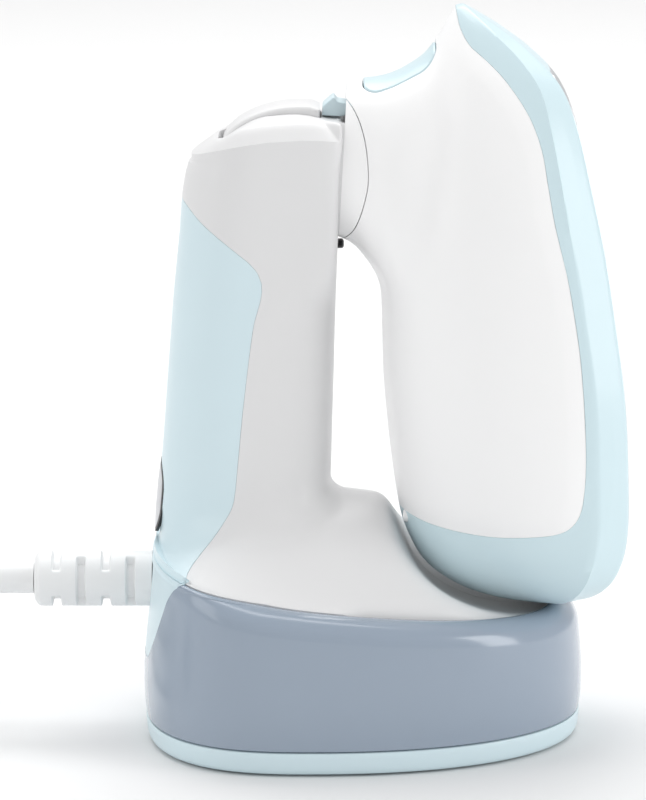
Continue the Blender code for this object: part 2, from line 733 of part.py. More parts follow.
def build_water_path():
    rod("pump_body", (-31.0, 0, 41.0), (1, 0, 0), [(0, 4.0), (4, 4.0), (4, 10.0), (26, 10.0), (26, 5.0), (30, 5.0)],
        "dark_plastic")
    box("pump_mount", (-26.0, -9.0, 28.0), (-6.0, 9.0, 30.6), "rubber")
    rod("suction_tube", (-34, 0, 13.4), (0, 0, 1), [(0, 2.6), (21.0, 2.6)], "rubber", SMALL_SIDES)
    rod("suction_filter", (-34, 0, 9.6), (0, 0, 1), [(0, 4.6), (3.4, 4.6)], "white_plastic", SMALL_SIDES)
    route = [(-20, 0, 51.4), (-20, 0, 66), (-25, 0, 90), (-30, 0, 116), (-31, 0, 129), (-28.6, 0, 137),
             (-23.4, 0, 139.9), (-18, 0, 139.8), (-14, 0, 139.6)]
    tube("pressure_hose", smooth_curve(route, 6.0), 2.4, "rubber")
    tube("head_hose", smooth_curve([(-11.0, 0, 139.4), (2, 0, 138.6), (14, 0, 134.0), (22, 0, 128.0)], 5.0), 2.4,
         "rubber")


def build_boiler():
    """The heater behind the steam plate. Each outline is a side view."""
    block = [(34.0, 64.0), (52.5, 64.0), (51.4, 90.0), (43.0, 138.0), (28.0, 138.0)]
    side_prism("boiler_body", block, -19.0, 19.0, "aluminium")
    side_prism("boiler_cover", [(30.6, 66.0), (33.0, 66.0), (27.2, 136.0), (24.8, 136.0)], -17.0, 17.0, "aluminium")
    rod("thermostat", (27.6, 0, 94.0), (-1, 0, -0.09), [(0, 7.0), (5.0, 7.0)], "steel")
    rod("thermal_fuse", (24.0, -6.0, 112.0), (0, 1, 0), [(0, 2.0), (12.0, 2.0)], "white_plastic", SMALL_SIDES)
    for k, (y, z) in enumerate(((-13.0, 74.0), (13.0, 74.0), (-13.0, 128.0), (13.0, 128.0)), 1):
        x = 29.2 if z < 100 else 24.8
        rod(f"boiler_screw_{k}", (x, y, z), (-1, 0, -0.09), [(0, 2.6), (2.0, 2.6)], "steel", SMALL_SIDES)


def build_switchgear():
    box("trigger_switch", (3.4, -4.0, 150.0), (10.6, 4.0, 158.4), "dark_plastic")
    rod("trigger_pin", (TRIGGER_HINGE.x, -9.5, TRIGGER_HINGE.z), (0, 1, 0), [(0, 1.0), (19, 1.0)], "steel",
        SMALL_SIDES)
    coil_spring("trigger_spring", (-0.4, 0, 152.6), 6.0, 2.2, 4)


def build_lead():
    """Strain relief, lead, coil and plug. The strain relief also holds the lead in the tongue."""
    steps = [(0, 4.7), (3.0, 6.9)]
    for k in range(4):
        d = 4.6 + 6.4 * k
        steps += [(d, 6.9), (d + 0.2, 6.1), (d + 2.2, 6.1), (d + 2.4, 6.9)]
    steps += [(28.2, 7.1), (28.4, 5.2), (34.2, 5.2)]
    rod("strain_relief", (RELIEF_END, 0, CORD_HEIGHT), (1, 0, 0), steps, "rubber")
    start = RELIEF_END - 0.3
    lead = [(start, 0, CORD_HEIGHT), (-97.0, 0, CORD_HEIGHT), (-105.5, -0.2, 36.6), (-116.0, -0.8, 31.8),
            (-126.0, -1.8, 23.6), (-136.0, -3.0, 14.6), (-146.0, -4.2, 7.6), (-155.0, -5.0, 4.6),
            (-164.0, -5.4, FLOOR_CORD), (-173.5, -4.6, FLOOR_CORD), (-181.3, -1.7, FLOOR_CORD)]
    tube("cord_lead", smooth_curve(lead, 8.0), CORD_DIAMETER / 2, "rubber")

    wide = COIL_TURNS_WIDE * CORD_DIAMETER / 2
    high = COIL_TURNS_HIGH * CORD_DIAMETER
    inner, outer = COIL_MIDDLE - wide, COIL_MIDDLE + wide
    profile = [(0.0, inner + 1.5), (0.0, outer - 1.5), (1.5, outer), (high - 1.5, outer),
               (high, outer - 1.5), (high, inner + 1.5), (high - 1.5, inner), (1.5, inner)]
    ring("cord_coil", (*COIL_CENTRE, 0.0), (0, 0, 1), profile, "rubber", 36)

    tail_y, tail_z = PLUG_AXIS
    tail = [(-112.9, 56.3, FLOOR_CORD), (-111.2, 44.0, FLOOR_CORD), (-109.9, 32.0, FLOOR_CORD),
            (-109.3, 18.0, FLOOR_CORD), (-110.0, 4.0, FLOOR_CORD + 0.4), (-114.0, -11.0, 6.4),
            (-122.4, -23.0, 12.0), (-133.0, -30.0, 17.4), (PLUG_TAIL_X + 4.6, tail_y, tail_z),
            (PLUG_TAIL_X + 0.4, tail_y, tail_z)]
    tube("cord_tail", smooth_curve(tail, 8.0), CORD_DIAMETER / 2, "rubber")
    rod("plug_body", (PLUG_TAIL_X, tail_y, tail_z), (-1, 0, 0),
        [(0, 5.4), (22, 7.6), (27, 13.0), (40, 15.0), (44, 18.6), (60, 18.6)], "rubber")
    for k, y in enumerate((-9.5, 9.5), 1):
        start = (PLUG_TAIL_X - 60.3, tail_y + y, tail_z)
        rod(f"plug_pin_{k}", start, (-1, 0, 0), [(0, 2.4), (18.0, 2.4), (19.0, 1.6)], "steel", SMALL_SIDES)


def empty_at(name, place):
    """An empty on a joint's axis, for the pieces that move about it."""
    empty = bpy.data.objects.new(name, None)
    empty.location = Vector(place) * MM
    bpy.context.scene.collection.objects.link(empty)
    return empty


def hang(empty, names):
    bpy.context.view_layer.update()
    for name in names:
        obj = bpy.data.objects[name]
        obj.parent = empty
        obj.matrix_parent_inverse = empty.matrix_world.inverted()


def gather_moving_pieces():
    head = empty_at("head_axis", SWIVEL)
    hang(head, ["head_shell_left", "head_shell_right", "head_frame", "steam_plate", "plate_gasket", "neck_collar",
                "swivel_shaft", "retaining_ring", "wave_washer", "boiler_body", "boiler_cover", "thermostat",
                "thermal_fuse", "head_hose", "trigger_switch", "trigger_spring", "trigger_pin",
                *(f"boiler_screw_{k}" for k in range(1, 5))])
    hang(empty_at("trigger_axis", TRIGGER_HINGE), ["trigger"])
    hang(empty_at("lever_axis", LEVER_HINGE), ["lock_lever", "lock_latch"])
    hang(empty_at("button_axis", (-56.0, 0, BUTTON_Z)), ["power_button"])
    hang(empty_at("tank_axis", (0, 0, BAND_TOP)),
         ["water_tank", "tank_base", *(f"foot_{k}" for k in range(1, 5))])


def main():
    clear_scene()
    build_body()
    build_chassis()
    build_tank()
    build_tank_base()
    build_head()
    build_swivel()
    build_lock()
    build_button()
    build_electrics()
    build_water_path()
    build_boiler()
    build_switchgear()
    build_lead()
    gather_moving_pieces()


main()
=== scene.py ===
"""Looks of the handheld steamer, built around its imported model.

Shapes are worked out in millimetres, and as_object turns them into metres. +X is the side that the
steam plate faces, +Z is up, and the lead leaves towards -X.
"""

import json
import math

import bpy
import numpy as np
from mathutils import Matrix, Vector


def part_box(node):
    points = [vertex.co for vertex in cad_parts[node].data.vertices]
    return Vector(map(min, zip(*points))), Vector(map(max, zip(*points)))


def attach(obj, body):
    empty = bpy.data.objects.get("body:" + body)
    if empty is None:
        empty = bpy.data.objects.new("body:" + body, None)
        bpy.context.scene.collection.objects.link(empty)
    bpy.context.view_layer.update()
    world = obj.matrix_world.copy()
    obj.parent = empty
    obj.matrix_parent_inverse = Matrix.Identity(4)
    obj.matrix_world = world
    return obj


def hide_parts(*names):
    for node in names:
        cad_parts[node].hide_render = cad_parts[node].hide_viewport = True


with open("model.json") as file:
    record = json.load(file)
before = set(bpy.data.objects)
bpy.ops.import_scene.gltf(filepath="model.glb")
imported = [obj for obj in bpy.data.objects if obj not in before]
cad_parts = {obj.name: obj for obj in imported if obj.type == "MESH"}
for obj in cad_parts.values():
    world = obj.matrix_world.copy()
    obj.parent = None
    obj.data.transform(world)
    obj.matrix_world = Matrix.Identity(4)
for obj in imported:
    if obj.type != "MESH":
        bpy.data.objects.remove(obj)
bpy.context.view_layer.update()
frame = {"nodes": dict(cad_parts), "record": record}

MM = 0.001
TAU = 2 * math.pi
SHARP = 38  # degrees between two faces from which their edge is drawn sharp

# Base plan: a superellipse half in front of BASE_X and another behind it
BASE_X = -20.0
BASE_FRONT = 68.3
BASE_REAR = 40.9
BASE_HALF = 50.0
FRONT_POWER = 2.2
REAR_POWER = 2.6
RIM_INSET = 7.6
REAR_INSET = 1.9  # of the deck's edge where it comes out flush with the tank's wall
WALL_FOOT = 26.0  # height at which the deck's and the tank's inner walls end
NOTCH_TOP = 0.726  # how far round the notch for the rear panel's tail reaches at the rim

# The neck's axis, about which the head swings
SWIVEL = np.array([-12.4, 0.0, 139.5])
SWIVEL_DIP = math.radians(3.0)
SWIVEL_AXIS = np.array([math.cos(SWIVEL_DIP), 0.0, -math.sin(SWIVEL_DIP)])

# The handle: half width, and where its rear and front faces are at each height (z, x)
HANDLE_HALF = 18.0
HANDLE_POWER = 2.3
GRIP_FOOT, GRIP_TOP = 76.0, 144.0
HANDLE_REAR = [(46.0, -58.9), (76.0, -56.2), (88.0, -55.3), (101.0, -54.3), (109.0, -53.7), (119.0, -52.7),
               (127.0, -51.9), (135.0, -51.3), (140.0, -50.6), (146.0, -48.9)]
HANDLE_FRONT = [(46.0, -14.9), (84.0, -13.9), (125.0, -12.75), (158.0, -11.03)]

# The power button: height of its middle, and half its width and height
BUTTON_Z = 59.6
BUTTON = (7.6, 9.4)

# The lead
CORD_DIAMETER = 7.8
CORD_HEIGHT = 37.8
RELIEF_END = -88.9
COIL_CENTRE = (-167.0, 51.6)
COIL_REACH = 52.0  # radius of the outermost turn
COIL_PITCH = CORD_DIAMETER * 1.02
COIL_TURNS = 3.5  # in the lower layer
FLOOR_CORD = CORD_DIAMETER / 2  # height of the cord's middle where it lies on the floor
PLUG_AXIS = (-31.5, 18.6)
PLUG_TAIL_X = -145.0
PLUG_LENGTH = 58.8  # from its tail to where its face starts to round


# ---- numbers and curves


def smooth_table(table, at):
    """Smooth reading of a table of (at, value) pairs, with no overshoot."""
    xs, ys = np.array([r[0] for r in table]), np.array([r[1] for r in table])
    step, rise = np.diff(xs), np.diff(ys)
    slope = rise / step
    product, total = slope[:-1] * slope[1:], slope[:-1] + slope[1:]
    middle = np.where(product > 0, 2 * product / (total + 1e-12), 0.0)
    tangent = np.concatenate([[slope[0]], middle, [slope[-1]]])
    at = np.clip(at, xs[0], xs[-1])
    k = np.clip(np.searchsorted(xs, at, side="right") - 1, 0, len(xs) - 2)
    h = step[k]
    t = (at - xs[k]) / h
    return (
        ys[k] * (1 + 2 * t) * (1 - t) ** 2
        + ys[k + 1] * t * t * (3 - 2 * t)
        + h * tangent[k] * t * (1 - t) ** 2
        - h * tangent[k + 1] * t * t * (1 - t)
    )


def catmull_rom(knots, count_between):
    """Points on a Catmull-Rom curve, with count_between(b, c) of them from each knot to the next."""
    knots = [np.array(k, float) for k in knots]
    last = knots[-1]
    knots = [2 * knots[0] - knots[1], *knots, 2 * last - knots[-2]]
    made = []
    for a, b, c, d in zip(knots, knots[1:], knots[2:], knots[3:]):
        count = count_between(b, c)
        for t in np.arange(count) / count:
            square, cube = 2 * a - 5 * b + 4 * c - d, 3 * b - a - 3 * c + d
            made.append(0.5 * (2 * b + (c - a) * t + square * t**2 + cube * t**3))
    return [*made, last]


def curve_through(knots, steps):
    """A smooth curve through rows of numbers, with that many steps between two of them."""
    return np.array(catmull_rom(knots, lambda b, c: steps))


def smooth_curve(points, step):
    """Points about a step apart on a smooth curve through the points given."""
    return catmull_rom(points, lambda b, c: max(1, round(float(np.linalg.norm(c - b)) / step)))


def ease(value):
    value = np.clip(value, 0.0, 1.0)
    return value * value * (3 - 2 * value)


def turns(count):
    return TAU * np.arange(count) / count


def power_point(turn, front, rear, half, front_power, rear_power):
    """Points on an outline of two superellipse halves about the origin."""
    c, s = np.cos(turn), np.sin(turn)
    power = np.where(c >= 0, front_power, rear_power)
    reach = np.where(c >= 0, front, rear)
    x = np.sign(c) * reach * np.abs(c) ** (2 / power)
    y = np.sign(s) * half * np.abs(s) ** (2 / power)
    return x, y


def line_level(line, inside):
    """A level function: distance from a line of (x, z) points in side view, positive where inside is."""
    line = np.array(line, float)
    a, b = line[:-1], line[1:]
    along = b - a
    length2 = (along**2).sum(1)

    def signed(flat):
        best = np.full(len(flat), np.inf)
        sign = np.ones(len(flat))
        for start, way, size in zip(a, along, length2):
            offset = flat - start
            t = np.clip(offset @ way / size, 0, 1)
            away = np.linalg.norm(offset - t[:, None] * way, axis=1)
            side = np.sign(way[0] * offset[:, 1] - way[1] * offset[:, 0])
            nearer = away < best - 1e-9
            best = np.where(nearer, away, best)
            sign = np.where(nearer, side, sign)
        return best * sign

    way_in = signed(np.array([inside], float))[0]
    return lambda p: signed(p[:, [0, 2]]) * (1 if way_in > 0 else -1)


# ---- meshes as arrays


def grid(rings, closed=True, capped=False):
    """Points and faces of a skin through rings of equal length."""
    rings = np.array(rings, float)
    count, n = rings.shape[:2]
    faces = []
    for k in range(count - 1):
        for i in range(n if closed else n - 1):
            j = (i + 1) % n
            faces.append((k * n + i, k * n + j, (k + 1) * n + j, (k + 1) * n + i))
    if capped:
        faces.append(tuple(reversed(range(n))))
        faces.append(tuple(range((count - 1) * n, count * n)))
    return rings.reshape(-1, 3), faces


def outward(points, faces, centre):
    """The faces, turned over if most of them face the centre."""
    points = np.asarray(points)
    total = 0.0
    for face in faces[:: max(1, len(faces) // 400)]:
        a, b, c = points[face[0]], points[face[1]], points[face[2]]
        total += float(np.dot(np.cross(b - a, c - a), a - np.array(centre)))
    return faces if total >= 0 else [tuple(reversed(f)) for f in faces]


def skin_of(rings, centre, closed=True, capped=False):
    """A grid through rings about a centre, with its faces outwards."""
    points, faces = grid(rings, closed, capped)
    return points, outward(points, faces, centre)


def trim(points, faces, level, offset=0.0):
    """Keep the part of a skin where level(points) is over the offset, with a clean edge along that line."""
    value = level(points) - offset
    value[np.abs(value) < 0.02] = 0.0
    points = [tuple(p) for p in points]
    made = {}
    kept = []

    def crossing(a, b):
        key = (min(a, b), max(a, b))
        if key not in made:
            t = value[a] / (value[a] - value[b])
            made[key] = len(points)
            points.append(tuple(np.array(points[a]) * (1 - t) + np.array(points[b]) * t))
        return made[key]

    for face in faces:
        values = [value[v] for v in face]
        if min(values) >= 0:
            if max(values) > 0:
                kept.append(face)
            continue
        if max(values) <= 0:
            continue
        loop = []
        for a, b in zip(face, (*face[1:], face[0])):
            if value[a] >= 0:
                loop.append(a)
            if value[a] * value[b] < 0:
                loop.append(crossing(a, b))
        if len(loop) >= 3:
            kept.append(tuple(loop))
    return compact(np.array(points), kept)


def compact(points, faces):
    """Drop points that no face uses."""
    used = np.unique(np.concatenate([np.array(f) for f in faces]))
    place = np.full(len(points), -1)
    place[used] = np.arange(len(used))
    return points[used], [tuple(int(place[v]) for v in f) for f in faces]


def vertex_normals(points, faces):
    normals = np.zeros_like(points)
    by_size = {}
    for face in faces:
        by_size.setdefault(len(face), []).append(face)
    for size, group in by_size.items():
        corners = np.array(group)
        p = points[corners]
        total = np.zeros((len(group), 3))
        for k in range(1, size - 1):
            total += np.cross(p[:, k] - p[:, 0], p[:, k + 1] - p[:, 0])
        for k in range(size):
            np.add.at(normals, corners[:, k], total)
    return normals / np.maximum(np.linalg.norm(normals, axis=1, keepdims=True), 1e-12)


def thicken(points, faces, wall, lip=0.05):
    """A closed shell from an open skin: a chamfered lip at each edge, and an inner skin a wall below."""
    normals = vertex_normals(points, faces)
    edges = {}
    for face in faces:
        for a, b in zip(face, (*face[1:], face[0])):
            edges[(a, b)] = edges.get((a, b), 0) + 1
    border = [(a, b) for a, b in edges if (b, a) not in edges]
    outside = np.zeros_like(points)
    for a, b in border:
        out = np.cross(points[b] - points[a], normals[a] + normals[b])
        out /= max(np.linalg.norm(out), 1e-12)
        outside[a] += out
        outside[b] += out
    rim = sorted({v for edge in border for v in edge})
    place = {v: k for k, v in enumerate(rim)}
    away = outside[rim] / np.maximum(np.linalg.norm(outside[rim], axis=1, keepdims=True), 1e-12)
    down = normals[rim]
    n, m = len(points), len(rim)
    first = points[rim] + away * lip - down * lip
    second = points[rim] + away * lip - down * wall
    inner = points - normals * wall
    made = np.vstack([points, first, second, inner])
    shell = list(faces)
    for a, b in border:
        ia, ib = place[a], place[b]
        shell.append((b, a, n + ia, n + ib))
        shell.append((n + ib, n + ia, n + m + ia, n + m + ib))
        shell.append((n + m + ib, n + m + ia, n + 2 * m + a, n + 2 * m + b))
    shell += [tuple(n + 2 * m + v for v in reversed(face)) for face in faces]
    return made, shell


def edge_pairs(faces):
    pairs = {(min(a, b), max(a, b)) for face in faces for a, b in zip(face, (*face[1:], face[0]))}
    return np.array(sorted(pairs))


def relaxed(points, faces, weight, times):
    """Points moved towards the middle of their neighbours, by a weight of their own."""
    pairs = edge_pairs(faces)
    count = len(points)
    a = np.concatenate([pairs[:, 0], pairs[:, 1]])
    b = np.concatenate([pairs[:, 1], pairs[:, 0]])
    degree = np.maximum(np.bincount(a, minlength=count), 1)
    points = points.copy()
    for _ in range(times):
        middle = np.stack([np.bincount(a, points[b, k], minlength=count) / degree for k in range(3)], axis=1)
        points += (weight * 0.6)[:, None] * (middle - points)
    return points


def together(skins):
    """Several skins as one."""
    faces, shift = [], 0
    for points, part in skins:
        faces += [tuple(v + shift for v in face) for face in part]
        shift += len(points)
    return np.vstack([points for points, _ in skins]), faces


def put(name, data):
    """A new object in the scene."""
    obj = bpy.data.objects.new(name, data)
    bpy.context.scene.collection.objects.link(obj)
    return obj


def evaluated(obj):
    """The object's mesh with its modifiers applied."""
    return bpy.data.meshes.new_from_object(obj.evaluated_get(bpy.context.evaluated_depsgraph_get()))


def remeshed(skins, voxel):
    """One even skin around several closed skins."""
    points, faces = together(skins)
    mesh = bpy.data.meshes.new("remesh")
    mesh.from_pydata(points.tolist(), [], faces)
    obj = put("remesh", mesh)
    modifier = obj.modifiers.new("Remesh", "REMESH")
    modifier.mode = "VOXEL"
    modifier.voxel_size = voxel
    made = evaluated(obj)
    co = np.zeros(len(made.vertices) * 3, np.float32)
    made.vertices.foreach_get("co", co)
    found = [tuple(p.vertices) for p in made.polygons]
    bpy.data.objects.remove(obj)
    bpy.data.meshes.remove(mesh)
    bpy.data.meshes.remove(made)
    return co.reshape(-1, 3).astype(float), found


def as_object(name, points, faces, material, sharp=SHARP):
    mesh = bpy.data.meshes.new(name)
    mesh.from_pydata((np.asarray(points, float) * MM).tolist(), [], [tuple(f) for f in faces])
    mesh.validate()
    mesh.shade_smooth()
    mesh.set_sharp_from_angle(angle=math.radians(sharp))
    mesh.materials.append(material)
    return put(name, mesh)


def stands_for(obj, body, slot, *nodes):
    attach(obj, body)
    if nodes:
        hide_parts(*nodes)
    return obj


def piece(name, skin, material, body, slot, *nodes, sharp=SHARP):
    """An object from a skin (points, faces), riding a body, and standing for some of its nodes."""
    return stands_for(as_object(name, *skin, material, sharp), body, slot, *nodes)


def cut_out(target, tool):
    """Take the tool's shape out of the target, and remove the tool."""
    modifier = target.modifiers.new("Boolean", "BOOLEAN")
    modifier.operation = "DIFFERENCE"
    modifier.object = tool
    modifier.solver = "MANIFOLD"
    made = evaluated(target)
    target.modifiers.clear()
    target.data = made
    made.shade_smooth()
    made.set_sharp_from_angle(angle=math.radians(SHARP))
    bpy.data.objects.remove(tool)


# ---- turned and extruded pieces


def across(axis):
    """Two directions square to an axis."""
    axis = np.array(axis, float)
    axis /= np.linalg.norm(axis)
    side = np.cross(axis, (0, 0, 1))
    if np.linalg.norm(side) < 0.1:
        side = np.cross(axis, (0, 1, 0))
    side /= np.linalg.norm(side)
    return axis, side, np.cross(side, axis)


def lathe(start, axis, profile, sides=72, shape=None):
    """A closed skin turned about an axis. The profile is (distance from start, radius) pairs.

    shape(turn, distance) may scale the radius.
    """
    axis, side, up = across(axis)
    turn = turns(sides)
    rings = []
    for d, r in profile:
        radius = np.full(sides, float(r)) * (shape(turn, d) if shape else 1.0)
        a, b = radius * np.cos(turn), radius * np.sin(turn)
        rings.append(np.array(start) + axis * d + side * a[:, None] + up * b[:, None])
    return skin_of(rings, np.array(start) + axis * (profile[0][0] + profile[-1][0]) / 2, capped=True)


def softened(profile, radius, steps=4):
    """A profile with its inner corners rounded."""
    profile = [np.array(p, float) for p in profile]
    made = [profile[0]]
    for a, b, c in zip(profile, profile[1:], profile[2:]):
        near, far = np.linalg.norm(a - b), np.linalg.norm(c - b)
        reach = min(radius, near * 0.45, far * 0.45)
        if reach < 1e-6:
            made.append(b)
            continue
        start, end = b + (a - b) / near * reach, b + (c - b) / far * reach
        for t in np.arange(steps + 1) / steps:
            made.append(start * (1 - t) ** 2 + 2 * b * t * (1 - t) + end * t**2)
    return [tuple(p) for p in [*made, profile[-1]]]


def rounded(half_a, half_b, radius, steps=10):
    """A rectangle's outline with round corners, about its own centre."""
    corners = [(1, 1, 0), (-1, 1, 1), (-1, -1, 2), (1, -1, 3)]
    points = []
    for sa, sb, quarter in corners:
        for k in range(steps + 1):
            turn = math.pi / 2 * (quarter + k / steps)
            a = sa * (half_a - radius) + radius * math.cos(turn)
            b = sb * (half_b - radius) + radius * math.sin(turn)
            points.append((a, b))
    return points


def padded_prism(outline, low, high, bevel, to_3d, steps=4):
    """An extruded outline with rounded edges. to_3d(a, b, h) gives the place of a point."""
    outline = np.array(outline, float)
    n = len(outline)
    before, after = np.roll(outline, 1, axis=0), np.roll(outline, -1, axis=0)
    way = after - before
    way /= np.maximum(np.linalg.norm(way, axis=1, keepdims=True), 1e-9)
    out = np.stack([way[:, 1], -way[:, 0]], axis=1)
    area = 0.5 * np.sum(outline[:, 0] * after[:, 1] - after[:, 0] * outline[:, 1])
    if area < 0:
        out = -out
    rings = []
    for end, sign in ((low, 1), (high, -1)):
        part = []
        for k in range(steps + 1):
            turn = math.pi / 2 * k / steps
            inset = bevel * (1 - math.sin(turn))
            height = end + sign * bevel * (1 - math.cos(turn))
            flat = outline - out * inset
            part.append([to_3d(a, b, height) for a, b in flat])
        rings += part if sign == 1 else part[::-1]
    return skin_of(rings, np.array(rings).reshape(-1, 3).mean(axis=0), capped=True)


# ---- materials


def fill(node, **values):
    """Set a node's inputs. An underscore stands for a space in their names."""
    for name, value in values.items():
        node.inputs[name.replace("_", " ")].default_value = value
    return node


def material(name, colour, roughness, metallic=0.0, grain=0.3, bump=0.04, mottle=0.02, coat=0.0, depth=0.0):
    """A moulded or turned finish: faint mottling, a fine grain in the surface, and uneven gloss.

    grain is the size of the surface grain in millimetres, bump its strength, mottle the colour's variation,
    coat the weight of a gloss coat, and depth how much light goes in under the surface.
    """
    made = bpy.data.materials.new(name)
    made.use_nodes = True
    tree = made.node_tree
    nodes, links = tree.nodes, tree.links
    shader = nodes["Principled BSDF"]
    fill(shader, Metallic=metallic, Coat_Weight=coat, Coat_Roughness=0.12, Subsurface_Weight=depth,
         Subsurface_Radius=(0.003, 0.003, 0.003))
    place = nodes.new("ShaderNodeTexCoord")

    def noise(scale, detail):
        node = fill(nodes.new("ShaderNodeTexNoise"), Scale=scale, Detail=detail)
        links.new(place.outputs["Object"], node.inputs["Vector"])
        return node

    cloud = noise(45.0, 3.0)
    blend = nodes.new("ShaderNodeMix")
    blend.data_type = "RGBA"
    darker, lighter = [c * (1 - mottle) for c in colour], [min(c * (1 + mottle), 1.0) for c in colour]
    fill(blend, A=(*darker, 1), B=(*lighter, 1))
    links.new(cloud.outputs["Fac"], blend.inputs["Factor"])
    links.new(blend.outputs["Result"], shader.inputs["Base Color"])

    gloss = fill(nodes.new("ShaderNodeMapRange"), To_Min=roughness * 0.88, To_Max=roughness * 1.12)
    links.new(noise(160.0, 4.0).outputs["Fac"], gloss.inputs["Value"])
    links.new(gloss.outputs["Result"], shader.inputs["Roughness"])

    relief = fill(nodes.new("ShaderNodeBump"), Strength=bump, Distance=0.0002)
    links.new(noise(1000.0 / grain, 2.0).outputs["Fac"], relief.inputs["Height"])
    links.new(relief.outputs["Normal"], shader.inputs["Normal"])
    return made


SHELL = {"grain": 0.35, "bump": 0.05}
# One white plastic in two copies: the first below is painted darker for the shade on the handle's sides, the
# second is painted brighter for the light on the head.
SHADED_WHITE = material("white_shell", (0.755, 0.755, 0.76), 0.42, mottle=0.008, coat=0.08, **SHELL)
LIT_HEAD_WHITE = material("head_white_painted_light", (0.95, 0.95, 0.952), 0.36, mottle=0.008, coat=0.2, **SHELL)
FRAME_BLUE = material("surround_blue", (0.63, 0.785, 0.835), 0.34, mottle=0.012, coat=0.2, **SHELL)
BLUE = material("pale_blue_shell", (0.66, 0.80, 0.85), 0.36, mottle=0.012, coat=0.12, **SHELL)
SLATE = material("slate_tank", (0.30, 0.362, 0.445), 0.2, grain=0.6, bump=0.02, mottle=0.015, coat=0.5)
BLACK = material("black_plastic", (0.012, 0.012, 0.013), 0.4, grain=0.3, bump=0.08, mottle=0.15)
SILVER = material("silver_lacquer", (0.62, 0.63, 0.65), 0.32, metallic=0.7, grain=0.12, bump=0.05,
                  mottle=0.03)
STEEL = material("bright_steel", (0.62, 0.61, 0.6), 0.28, metallic=1.0, grain=0.15, bump=0.12, mottle=0.05)
PLATE = material("plate_aluminium", (0.66, 0.67, 0.69), 0.3, metallic=0.9, grain=0.2, bump=0.1, mottle=0.03)
CAST = material("cast_aluminium", (0.55, 0.55, 0.56), 0.5, metallic=0.9, grain=0.8, bump=0.5, mottle=0.08)
SHEATH = material("lead_sheath", (0.86, 0.87, 0.875), 0.48, grain=0.4, bump=0.1, mottle=0.02)
SILICONE = material("silicone", (0.5, 0.51, 0.52), 0.55, grain=0.5, bump=0.12, mottle=0.04, depth=0.1)
BOARD = material("solder_mask", (0.02, 0.16, 0.07), 0.35, grain=0.8, bump=0.3, mottle=0.25)
SCREW = material("screw_steel", (0.55, 0.53, 0.5), 0.35, metallic=1.0, grain=0.2, bump=0.25, mottle=0.06)


# ---- camera, light, floor


def make_camera():
    data = bpy.data.cameras.new("camera")
    data.lens = 180
    data.sensor_width = 36
    data.clip_start = 0.05
    data.clip_end = 50
    obj = put("camera", data)
    elevation = math.radians(11.0)
    aim = Vector((-16.4, 0.0, 83.5)) * MM
    obj.location = aim + Vector((0, -math.cos(elevation), math.sin(elevation)))
    obj.rotation_euler = (math.pi / 2 - elevation, 0, 0)
    bpy.context.scene.camera = obj


def area_light(name, place, aim, size, power):
    data = bpy.data.lights.new(name, "AREA")
    data.shape = "RECTANGLE"
    data.size, data.size_y = size
    data.energy = power
    obj = put(name, data)
    obj.location = place
    obj.rotation_euler = (Vector(aim) - Vector(place)).to_track_quat("-Z", "Y").to_euler()


def make_studio():
    world = bpy.data.worlds.new("studio")
    bpy.context.scene.world = world
    world.use_nodes = True
    back = world.node_tree.nodes["Background"]
    fill(back, Color=(1, 1, 1, 1), Strength=0.64)
    area_light("top", (-0.1, 0.4, 1.4), (0, 0, 0.05), (1.2, 0.9), 9.0)
    area_light("left", (-1.0, -0.5, 0.6), (-0.02, 0, 0.07), (0.6, 0.9), 2.2)
    area_light("right", (1.05, -0.4, 0.45), (0.03, 0, 0.09), (0.4, 0.9), 4.4)
    make_floor()
    area_light("backdrop", (0, 1.5, 1.9), (0, 1.8, 0.0), (3.0, 1.4), 24)
    bpy.context.scene.view_settings.view_transform = "Standard"


def make_floor():
    """A pale floor that curves up into a wall far behind, in metres."""
    bend_start, bend, wall_step, half_width = 2.9, 0.9, 0.8, 6.0
    rows = [(y, 0.0) for y in (-6.0, -2.0, 0.0, 0.6)]
    for lean in np.linspace(0.0, math.pi / 2, 17):
        rows.append((bend_start + bend * math.sin(lean), bend * (1 - math.cos(lean))))
    rows += [(bend_start + bend, bend + wall_step * k) for k in range(1, 5)]
    points = [(x, y, z) for y, z in rows for x in (-half_width, half_width)]
    faces = [(2 * k, 2 * k + 1, 2 * k + 3, 2 * k + 2) for k in range(len(rows) - 1)]
    floor = bpy.data.meshes.new("floor")
    floor.from_pydata(points, [], faces)
    floor.shade_smooth()
    floor.materials.append(material("floor", (0.84, 0.84, 0.84), 0.9, grain=3.0, bump=0.0, mottle=0.002))
    put("floor", floor)


# ---- the lead


